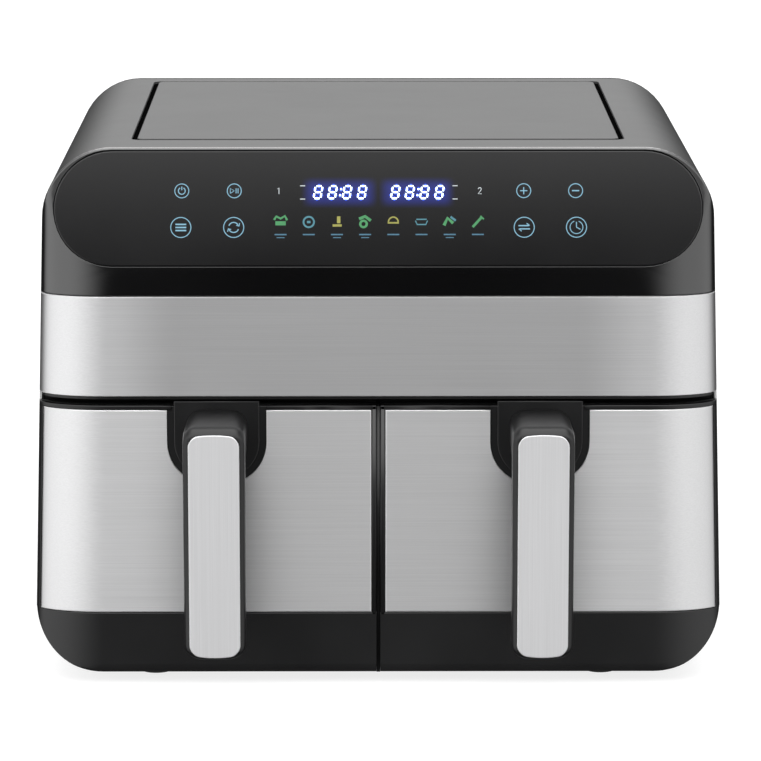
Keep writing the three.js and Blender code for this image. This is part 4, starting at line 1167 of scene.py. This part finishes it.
# %% [markdown]
# ## The steel skins
# A patch between a straight lower edge and an upper edge that dips round the notch. Each
# column runs straight from a lower point to the matching upper point, so the columns fan out
# under the notch. The border is turned back so that the sheet shows its thickness.


# %% Steel skins
def notch_path():
    """Upper edge of the skin from the middle outwards: x before the narrowing, and height."""
    near, r = DRAWER_NEAR_X + RIM + 0.2 * MM, NOTCH_R
    left, right = HANDLE_X - NOTCH_HALF, HANDLE_X + NOTCH_HALF
    t = np.radians(np.linspace(0, 90, 22))
    bend = BASE_HALF - PLAN_X + PLAN_X * np.sin(t)
    bend = bend[bend < SKIN_FAR]
    path = [line(near, SKIN_TOP, near + 0.3 * MM, SKIN_TOP, 2),
            line(near + 0.3 * MM, SKIN_TOP, near + 0.9 * MM, SKIN_TOP, 2),
            line(near + 0.9 * MM, SKIN_TOP, left, SKIN_TOP, 12),
            line(left, SKIN_TOP, left, NOTCH_LOW + r, 7),
            arc(left + r, NOTCH_LOW + r, r, 180, 270, 12),
            line(left + r, NOTCH_LOW, right - r, NOTCH_LOW, 4),
            arc(right - r, NOTCH_LOW + r, r, 270, 360, 12),
            line(right, NOTCH_LOW + r, right, SKIN_TOP, 7),
            line(right, SKIN_TOP, BASE_HALF - PLAN_X, SKIN_TOP, 6)]
    path = [piece[:-1] for piece in path]
    tail = np.concatenate([bend, [SKIN_FAR - 0.9 * MM, SKIN_FAR - 0.3 * MM, SKIN_FAR]])
    tail = np.unique(tail)
    return np.concatenate(path + [np.stack([tail, np.full(len(tail), SKIN_TOP)], axis=1)])


def narrowed(x, z):
    """x after the narrowing, which fades in from nothing at the notch to full at the corner."""
    start = HANDLE_X + NOTCH_HALF
    fade = np.clip((x - start) / (BASE_HALF - PLAN_X - start), 0, 1)
    return x * (1 - (1 - share(z)) * fade)

# %% [markdown]
# ### The skin as a grid
# The sheet is drawn as rows between its two edges. Its front and back are the same grid at two
# depths, so that it is a closed body and not a sheet without thickness.


# %% Skin grid
def skin_points():
    """Rows between the lower and the upper edge, point = low + (high - low) * f, with a border
    turned back by the sheet's thickness."""
    high = notch_path()
    left, right = HANDLE_X - NOTCH_HALF, HANDLE_X + NOTCH_HALF
    steps = np.concatenate([[0], np.cumsum(np.linalg.norm(np.diff(high, axis=0), axis=1))])
    where = lambda x, last: steps[np.nonzero(np.isclose(high[:, 0], x))[0][-1 if last else 0]]
    fan = 17 * MM
    low_x = np.interp(steps, [0, 0.3 * MM, where(left, False), where(right, True)],
                      [high[0, 0], high[0, 0] + 0.3 * MM, left - fan, right + fan])
    beyond = steps > where(right, True)
    from_x = high[:, 0][beyond]
    share_out = np.clip((from_x - right) / (BASE_HALF - PLAN_X - right), 0, 1)
    low_x[beyond] = from_x + fan * (1 - share_out) * (from_x < BASE_HALF - PLAN_X)
    low = np.stack([low_x, np.full(len(high), CHIN_TOP + 0.3 * MM)], axis=1)
    f = np.concatenate([[0, 0.0025, 0.007], np.linspace(0, 1, 14)[1:-1], [0.993, 0.9975, 1]])[:, None, None]
    p = low[None] + (high - low)[None] * f
    d = plan_depth(p[..., 0])
    d = d + 0.25 * MM * ((f[..., 0] == 0) | (f[..., 0] == 1))
    d[:, [0, -1]] += 0.25 * MM
    points = np.stack([narrowed(p[..., 0], p[..., 1]), FRONT_Y + d, p[..., 1]], axis=-1)
    points = np.pad(points, ((1, 1), (1, 1), (0, 0)), mode="edge")
    points[[0, -1], :, 1] += 0.8 * MM
    points[1:-1, [0, -1], 1] += 0.8 * MM
    return points


def back_of(front):
    """The back of the sheet: the same grid, but at least 1 mm behind the front's surface, and
    joined to it along the border."""
    p = front["p"].copy()
    surface = FRONT_Y + plan_depth(p[..., 0] / share(p[..., 2]))
    p[..., 1] = np.maximum(p[..., 1], surface + 1.0 * MM)
    p[[0, -1]] = front["p"][[0, -1]]
    p[:, [0, -1]] = front["p"][:, [0, -1]]
    return grid(p)


for word, side in (("left", -1), ("right", 1)):
    front = grid(skin_points())
    make(f"steel_front_{word}", for_side([front, back_of(front)], side), STEEL, f"drawer_{word}",
         [f"steel_skin_{word}"])
print("steel skins", skin_points().shape)

# %% [markdown]
# ## Handles
# A handle is one bent bar: an arm that comes out of a lug plate in the notch and a grip that
# hangs in front of the drawer. Its outside and inside lines are drawn in the side view and the
# rounded section is stretched between them. A brushed strip is let into the front.

# %% Handles
HANDLE_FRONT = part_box("handle_right")[0].y
HANDLE_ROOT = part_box("handle_right")[1].y
HANDLE_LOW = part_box("handle_right")[0].z
HANDLE_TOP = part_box("handle_right")[1].z
HANDLE_HALF = (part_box("handle_right")[1].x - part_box("handle_right")[0].x) / 2
GRIP_THICK = 17.0 * MM
ARM_HIGH = 25.0 * MM


def handle_lines():
    """Outside and inside lines of the side view (y, z), matched point for point."""
    outer_r, inner_r = 7.0 * MM, 9.0 * MM
    grip_back = HANDLE_FRONT + GRIP_THICK
    under = HANDLE_TOP - ARM_HIGH
    outer = [line(HANDLE_ROOT, HANDLE_TOP, HANDLE_FRONT + outer_r, HANDLE_TOP, 6)[:-1],
             arc(HANDLE_FRONT + outer_r, HANDLE_TOP - outer_r, outer_r, 90, 180, 9)[:-1]]
    inner = [line(HANDLE_ROOT, under, grip_back + inner_r, under, 6)[:-1],
             arc(grip_back + inner_r, under - inner_r, inner_r, 90, 180, 9)[:-1]]
    tip = HANDLE_LOW + np.array([9, 7, 5, 3.4, 2.2, 1.2, 0.5, 0.12, 0]) * MM
    down_o = np.concatenate([np.linspace(HANDLE_TOP - outer_r, tip[0], 8)[:-1], tip])
    down_i = np.concatenate([np.linspace(under - inner_r, tip[0], 8)[:-1], tip])
    outer.append(np.stack([np.full(len(down_o), HANDLE_FRONT), down_o], axis=1))
    inner.append(np.stack([np.full(len(down_i), grip_back), down_i], axis=1))
    return np.concatenate(outer), np.concatenate(inner)

# %% [markdown]
# ### The bar
# The bar is moulded in one piece. Its section is a rounded rectangle at every step, and the
# free end is rounded off by letting the section shrink along an ellipse.


# %% Handle bar
def bar_section(half_w, half_t, radius):
    """Rounded rectangle as (across, through) for each row; radius never exceeds either half."""
    count = 7
    r = np.minimum(radius, np.minimum(half_w, half_t) * 0.98)[:, None]
    quarters = [np.linspace(a, a + 90, count) for a in (0, 90, 180, 270)]
    angle = np.radians(np.concatenate(quarters))[None]
    corner_x = np.repeat([1, -1, -1, 1], count)[None] * (half_w[:, None] - r)
    corner_t = np.repeat([1, 1, -1, -1], count)[None] * (half_t[:, None] - r)
    return corner_x + r * np.cos(angle), corner_t + r * np.sin(angle)


def handle_points():
    """Row s is the section between outer(s) and inner(s): middle + across * X + through *
    direction, shrunk along an ellipse near the free end."""
    outer, inner = handle_lines()
    middle, toward = (outer + inner) / 2, (outer - inner) / 2
    half_t = np.linalg.norm(toward, axis=1)
    toward = toward / half_t[:, None]
    left = outer[:, 1] - HANDLE_LOW
    tip_x, tip_t = 9.5 * MM, 7.0 * MM
    lose = lambda tip: tip * (1 - np.sqrt(np.clip(1 - (1 - np.clip(left / tip, 0, 1)) ** 2, 0, 1)))
    half_w = HANDLE_HALF - lose(tip_x)
    along = np.arange(len(left)) / 13.0
    radius = (4.4 + 4.6 * np.clip(1 - along, 0, 1)) * MM
    across, through = bar_section(half_w, half_t - lose(tip_t), radius)
    y = middle[:, :1] + through * toward[:, :1]
    z = middle[:, 1:] + through * toward[:, 1:]
    return np.stack([HANDLE_X + across, y, z], axis=-1)

# %% [markdown]
# ### Lug plate and inlay
# The lug is the plate that the bar grows out of. It fills the notch in the steel. The inlay is
# a strip of brushed sheet let into the grip, with crowned ends.

# %% Lug plate and inlay
LUG_HALF = 23.75 * MM
LUG_R = 21.0 * MM
LUG_TOP = DRAWER_TOP_Z + 2.4 * MM
LUG_LOW = NOTCH_LOW + 3.4 * MM


def lug_loop(inset):
    """Loop of the lug plate: square shoulders at the top, a round bottom."""
    half, r = LUG_HALF - inset, LUG_R - inset
    top, low = LUG_TOP - inset, LUG_LOW + inset
    bottom = arc(HANDLE_X + half - r, low + r, r, -90, 0, 14)
    right = np.concatenate([bottom, line(HANDLE_X + half, low + r, HANDLE_X + half, top, 5)[1:]])
    left = right[::-1] * [-1, 1] + [2 * HANDLE_X, 0]
    return np.concatenate([right, left])


def standing(front):
    """Places a loop drawn in X and Z on an upright plane, drop going back."""
    return lambda p, d: np.stack([p[:, 0], np.full(len(p), front) + d, p[:, 1]], axis=1)


inlay_low, inlay_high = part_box("handle_inlay_right")


def inlay_loop(inset):
    """Rounded strip whose short ends are crowned: z gains a crown that fades towards the sides."""
    p = rounded_loop(inlay_low.x, inlay_high.x, inlay_low.z + 0.8 * MM, inlay_high.z, 5.4 * MM, inset, 9, 5)
    u = (p[:, 0] - HANDLE_X) / ((inlay_high.x - inlay_low.x) / 2)
    up = p[:, 1] > (inlay_low.z + inlay_high.z) / 2
    p[:, 1] += np.where(up, 1.0, -1.2) * 1.5 * MM * (1 - u * u)
    return p


def solid_grid(points):
    """A closed skin from a wrapped grid with both ends capped."""
    return grid(points, wrap=True, cap_start=True, cap_end=True)

# %% [markdown]
# ### Both handles
# Each handle rides with its own drawer, so it moves when the drawer is pulled.

# %% Both handles
bar = solid_grid(handle_points())
lug = solid_grid(plate(lug_loop, 2.4 * MM, 0.35 * MM, 16 * MM, standing(FRONT_Y - 0.2 * MM), 4))
strip = solid_grid(plate(inlay_loop, 1.2 * MM, 0.45 * MM, 12.5 * MM, standing(HANDLE_FRONT - 0.35 * MM), 5))
for word, side in (("left", -1), ("right", 1)):
    body = f"drawer_{word}"
    make(f"handle_bar_{word}", for_side([bar], side), GRIP, body, [f"handle_{word}"])
    make(f"lug_plate_{word}", for_side([lug], side), SATIN, body, [f"handle_lug_{word}"])
    make(f"inlay_strip_{word}", for_side([strip], side), INLAY, body, [f"handle_inlay_{word}"])
print("handles at x", round(HANDLE_X, 4), "from z", round(HANDLE_LOW, 4))

# %% [markdown]
# ## Tubs
# A tub is pressed from coated sheet: rounded corners, a rolled rim, a rounded foot where the
# wall meets the floor. Its section goes from the middle of the underside out, up the wall,
# over the rim, down inside and back to the middle, carried round the plan.


# %% Tubs
def tub_points(low, high):
    """Rows are the steps of the section (inset, height), columns the plan's loop."""
    wall, rim, foot = 1.6 * MM, 1.3 * MM, 9.0 * MM
    middle_z, floor = (low.z + high.z) / 2, low.z + wall
    bend = np.linspace(0, math.pi / 2, 8)
    roll = np.linspace(0, math.pi / 2, 4)
    out = [(60 * MM, low.z), (foot + 2 * MM, low.z)]
    out += [(foot * (1 - math.sin(a)), low.z + foot * (1 - math.cos(a))) for a in bend]
    out += [(0.0, middle_z), (0.0, high.z - 3 * rim), (0.0, high.z - 2.4 * rim)]
    out += [(rim * 0.1 * (1 - math.cos(a)), high.z - rim + rim * math.sin(a)) for a in roll]
    out += [(wall + 0.6 * MM, high.z), (wall + 0.9 * MM, high.z - rim), (wall, high.z - 2.4 * rim)]
    out += [(wall, middle_z)]
    out += [(wall + foot - foot * math.cos(a), floor + foot - foot * math.sin(a)) for a in bend]
    out += [(wall + foot + 2 * MM, floor), (60 * MM, floor)]
    rows = []
    for inset, z in out:
        p = rounded_loop(low.x, high.x, low.y, high.y, 22 * MM, inset, 10)
        rows.append(np.stack([p[:, 0], p[:, 1], np.full(len(p), z)], axis=1))
    return np.stack(rows)


for word in ("left", "right"):
    low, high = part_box(f"tub_{word}")
    make(f"tub_skin_{word}", [grid(tub_points(low, high), wrap=True, cap_start=True, cap_end=True)], COATING,
         f"drawer_{word}", [f"tub_{word}"])
print("tub depth", round(high.z - low.z, 4))

# %% [markdown]
# ## Crisper plates
# A shallow coated plate full of round holes. One square cell with a hole is worked out once
# and laid out many times by adding offsets; a rim with rounded edges runs round the whole.


# %% Crisper plates
def cell_rings(pitch_x, pitch_y, radius, z_top, z_low):
    """Loops of one cell: square border above, hole edge above, hole edge below, border below."""
    count = 16
    angle = (np.arange(count) + 0.5) / count * 2 * math.pi
    circle = np.stack([np.cos(angle), np.sin(angle)], axis=1)
    square = circle / np.abs(circle).max(axis=1, keepdims=True) * [pitch_x / 2, pitch_y / 2]
    soft = 0.35 * MM
    stack = [(square, z_top), (circle * (radius + soft), z_top), (circle * radius, z_top - soft),
             (circle * radius, z_low + soft), (circle * (radius + soft), z_low), (square, z_low)]
    return np.stack([np.concatenate([p, np.full((count, 1), z)], axis=1) for p, z in stack])


def crisper_parts(low, high):
    """All grids of one plate: a cell per hole, but none in the corners, and the rim's section
    carried round the plan."""
    rim_w = 9.0 * MM
    sheet = 1.6 * MM
    z_low, z_top = low.z, low.z + sheet
    x0, x1, y0, y1 = low.x + rim_w, high.x - rim_w, low.y + rim_w, high.y - rim_w
    nx, ny = 11, 20
    px, py = (x1 - x0) / nx, (y1 - y0) / ny
    ringset = cell_rings(px, py, 3.6 * MM, z_top, z_low)
    parts = []
    for i in range(nx):
        for j in range(ny):
            if i in (0, nx - 1) and j in (0, ny - 1):
                continue
            offset = [x0 + (i + 0.5) * px, y0 + (j + 0.5) * py, 0]
            parts.append(grid(ringset + offset, wrap=True))
    over, under = z_top + 0.02 * MM, z_low - 0.02 * MM
    steps = [(rim_w, over), (2.4 * MM, over), (1.6 * MM, z_top + 0.9 * MM), (1.5 * MM, high.z - 0.6 * MM),
             (1.1 * MM, high.z), (0.4 * MM, high.z), (0.0, high.z - 0.6 * MM), (0.0, z_low + 1.4 * MM),
             (1.4 * MM, under), (rim_w, under), (rim_w, over)]
    rows = []
    for inset, z in steps:
        p = rounded_loop(low.x, high.x, low.y, high.y, 17 * MM, inset, 8)
        rows.append(np.stack([p[:, 0], p[:, 1], np.full(len(p), z)], axis=1))
    return parts + [grid(np.stack(rows), wrap=True)]


for word in ("left", "right"):
    low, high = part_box(f"crisper_plate_{word}")
    make(f"crisper_skin_{word}", crisper_parts(low, high), COATING, f"crisper_{word}",
         [f"crisper_plate_{word}"])
print("crisper plate", round(high.x - low.x, 4), "x", round(high.y - low.y, 4))

# %% [markdown]
# ## Feet
# The feet are turned pads with a rounded edge and two shallow rings on the sole.


# %% Feet
def turned(profile, x, y):
    """A profile of (radius, height) spun about an upright axis: x + r cos a, y + r sin a."""
    angle = np.linspace(0, 2 * math.pi, 36, endpoint=False)
    r, z = np.array(profile).T[:, :, None]
    return np.stack([x + r * np.cos(angle), y + r * np.sin(angle), z + 0 * angle], axis=-1)


for i in range(1, 5):
    low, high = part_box(f"foot_{i}")
    r = (high.x - low.x) / 2
    recess, upper = 0.8 * MM, BASE_Z + 0.5 * MM
    sole = [(0.1 * MM, recess), (r * 0.35, recess), (r * 0.4, 0.1 * MM), (r * 0.55, 0.0),
            (r * 0.6, 0.7 * MM), (r * 0.7, 0.7 * MM), (r * 0.75, 0.0), (r - 1.6 * MM, 0.0),
            (r - 0.6 * MM, 0.4 * MM), (r, 1.6 * MM), (r, BASE_Z - 0.8 * MM),
            (r - 0.4 * MM, BASE_Z - 0.1 * MM), (r * 0.6, upper), (0.1 * MM, upper)]
    pad = turned(sole, (low.x + high.x) / 2, (low.y + high.y) / 2)
    make(f"foot_pad_{i}", [solid_grid(pad)], RUBBER, "housing", [f"foot_{i}"])
print("feet of radius", round(r, 4))

# %% [markdown]
# ## Finishes on the CAD pieces that stay
# Pieces seen only through a gap, or whose own shape is already right, keep their CAD mesh and
# get a finish and a softened edge.

# %% Finishes for kept nodes
KEPT = {"front_frame": SATIN, "base_pan": BASE, "rear_cover": BASE, "cord_inlet": RUBBER,
        "power_board": BOARD, "control_board": BOARD, "rear_screw": SCREW, "display": PANEL,
        "drawer_switch": BASE, "chamber": SHEET, "heater_guard": SHEET, "heater": ROD,
        "fan_shroud": SHEET, "motor": MOTOR, "fan_shaft": SCREW, "impeller": SHEET,
        "cooling_fan": FAN_PLASTIC, "bumper": SILICONE}
replaced = set()
for obj in bpy.data.objects:
    replaced |= set(obj.get("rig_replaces", []))
for node, obj in frame["nodes"].items():
    if node in replaced:
        continue
    stem = max((k for k in KEPT if node.startswith(k)), key=len)
    obj.data.materials.clear()
    obj.data.materials.append(KEPT[stem])
    weld = obj.modifiers.new("weld", "WELD")
    weld.merge_threshold = 0.002 * MM
    soft = obj.modifiers.new("edge", "BEVEL")
    soft.width = 0.3 * MM
    soft.segments = 2
    soft.limit_method = "ANGLE"
    soft.angle_limit = math.radians(40)
print("kept nodes:", len(frame["nodes"]) - len(replaced))

# %% [markdown]
# ## Floor, light and camera
# A wide pale floor under a soft studio sky. The sky is white behind the appliance, dim in
# front of it at eye level, bright again overhead, and has a broad soft glow on each side.
# Rounded corners pick up the side glows, flat dark fronts stay dark, and brushed steel, which
# smears its reflections up and down, takes its grey from the bright upper part.

# %% Floor
floor_material, floor_nodes, floor_links, floor_shader = fresh("floor_paper", (0.3, 0.3, 0.3), 0.0, 0.7)
adjust(floor_material, {"Emission Color": (1, 1, 1, 1), "Emission Strength": 0.80})
tinted(floor_nodes, floor_links, floor_shader, (0.3, 0.3, 0.3),
       spread(floor_nodes, floor_links, noise(floor_nodes, floor_links, (3, 3, 3), 2), 0.99, 1.01))
floor_shader.inputs["Specular IOR Level"].default_value = 0.1
FLOOR_HALF = 7.0
corners = FLOOR_HALF * np.array([[-1, -1, 0], [1, -1, 0], [1, 1, 0], [-1, 1, 0]], float)
floor_mesh = bpy.data.meshes.new("floor")
floor_mesh.from_pydata(corners.tolist(), [], [[0, 1, 2, 3]])
floor_mesh.materials.append(floor_material)
floor = bpy.data.objects.new("floor", floor_mesh)
bpy.context.scene.collection.objects.link(floor)
floor.visible_glossy = False
print("floor", 2 * FLOOR_HALF, "m wide")

# %% [markdown]
# ### Backdrop
# A tall ring of white paper all round, seen by the camera only, so that every view has a clean
# white background while the reflections still come from the sky.

# %% Backdrop
SIDES = 64
BACKDROP_R = 8.0
turn_round = np.linspace(0, 2 * math.pi, SIDES, endpoint=False)
ring_xy = BACKDROP_R * np.stack([np.cos(turn_round), np.sin(turn_round)], axis=1)
wall = np.concatenate([np.c_[ring_xy, np.full(SIDES, z)] for z in (-1.0, 5.0)])
wall_faces = [[i, SIDES + i, SIDES + (i + 1) % SIDES, (i + 1) % SIDES] for i in range(SIDES)]
wall_material, wall_nodes, wall_links, wall_shader = fresh("backdrop_paper", (0, 0, 0), 0.0, 1.0)
adjust(wall_material, {"Emission Color": (1, 1, 1, 1)})
wall_glow = spread(wall_nodes, wall_links, noise(wall_nodes, wall_links, (1, 1, 1), 2), 0.98, 1.0)
wall_links.new(wall_glow, wall_shader.inputs["Emission Strength"])
wall_mesh = bpy.data.meshes.new("backdrop")
wall_mesh.from_pydata(wall.tolist(), [], wall_faces)
wall_mesh.materials.append(wall_material)
backdrop = bpy.data.objects.new("backdrop", wall_mesh)
bpy.context.scene.collection.objects.link(backdrop)
for ray in ("diffuse", "glossy", "transmission", "shadow", "volume_scatter"):
    setattr(backdrop, f"visible_{ray}", False)

print("backdrop sides:", SIDES)

# %% [markdown]
# ### The sky
# Apart from the floor's faint glow all light comes from the sky. Its brightness is worked out
# from the direction looked at, by the same two kinds of node that the finishes use.

# %% Sky
world = bpy.data.worlds.new("studio")
world.use_nodes = True
bpy.context.scene.world = world
sky_nodes, sky_links = world.node_tree.nodes, world.node_tree.links


def sky_math(operation, *values):
    """One Math node of the sky."""
    return calculated(sky_nodes, sky_links, operation, *values)


def sky_ramp(value, low, high, at_low, at_high):
    """Smooth step of a value between two limits, mapped onto two brightnesses."""
    return eased(sky_nodes, sky_links, value, low, high, at_low, at_high)


def glow(direction, narrow, wide, strength):
    """A soft lamp in a direction: brightness by the cosine of the angle away from it."""
    node = sky_nodes.new("ShaderNodeVectorMath")
    node.operation = "DOT_PRODUCT"
    sky_links.new(sky_coords.outputs["Generated"], node.inputs[0])
    length = math.sqrt(sum(c * c for c in direction))
    node.inputs[1].default_value = [c / length for c in direction]
    edge, full = math.cos(math.radians(wide)), math.cos(math.radians(narrow))
    return sky_ramp(node.outputs["Value"], edge, full, 0, strength)

# %% [markdown]
# ### The sky's brightness
# The part behind the appliance, the part ahead of it and three soft glows are added together.
# Each number is a height or a sideways share of the direction, or a brightness.

# %% Sky brightness
sky_coords = sky_nodes.new("ShaderNodeTexCoord")
sky_parts = sky_nodes.new("ShaderNodeSeparateXYZ")
sky_links.new(sky_coords.outputs["Generated"], sky_parts.inputs[0])
sky_x, sky_y, sky_z = sky_parts.outputs
behind = sky_ramp(sky_z, 0.02, 0.34, 0.10, 1.6)
ahead = sky_ramp(sky_z, 0.28, 0.62, 0.006, 2.6)
frontness = sky_ramp(sky_y, -0.75, -0.35, 1.0, 0.0)
sideways = sky_ramp(sky_math("ABSOLUTE", sky_x), 0.12, 0.5, 1.0, 0.3)
behind = sky_math("MULTIPLY", behind, sideways)
sky = sky_math("ADD", sky_math("MULTIPLY", behind, sky_math("SUBTRACT", 1.0, frontness)),
               sky_math("MULTIPLY", ahead, frontness))
sky = sky_math("ADD", sky, glow((-0.87, -0.50, 0.02), 18, 59, 1.36))
sky = sky_math("ADD", sky, glow((0.87, -0.50, 0.02), 18, 59, 1.06))
sky = sky_math("ADD", sky, glow((0, -0.1, 1), 10, 45, 1.6))
sky_links.new(sky, world.node_tree.nodes["Background"].inputs["Color"])
world.node_tree.nodes["Background"].inputs["Strength"].default_value = 1.0
print("sky nodes:", len(sky_nodes))

# %% [markdown]
# ### The camera
# A long lens from a little above, far enough away that the sides hardly converge. It looks
# down by about eleven degrees.

# %% Camera
CAMERA_AWAY = 2.27
CAMERA_HIGH = 0.6198
LOOKS_DOWN = 11.1
TURNED = -0.257
camera_data = bpy.data.cameras.new("camera")
camera_data.lens = 196.4
camera_data.sensor_width = 36.0
camera_data.clip_end = 50
camera = bpy.data.objects.new("camera", camera_data)
bpy.context.scene.collection.objects.link(camera)
camera.location = (-0.009, FRONT_Y - CAMERA_AWAY, CAMERA_HIGH)
camera.rotation_euler = (math.radians(90 - LOOKS_DOWN), 0, math.radians(TURNED))
bpy.context.scene.camera = camera

bpy.context.scene.view_settings.view_transform = "Standard"
print("camera", [round(v, 3) for v in camera.location])
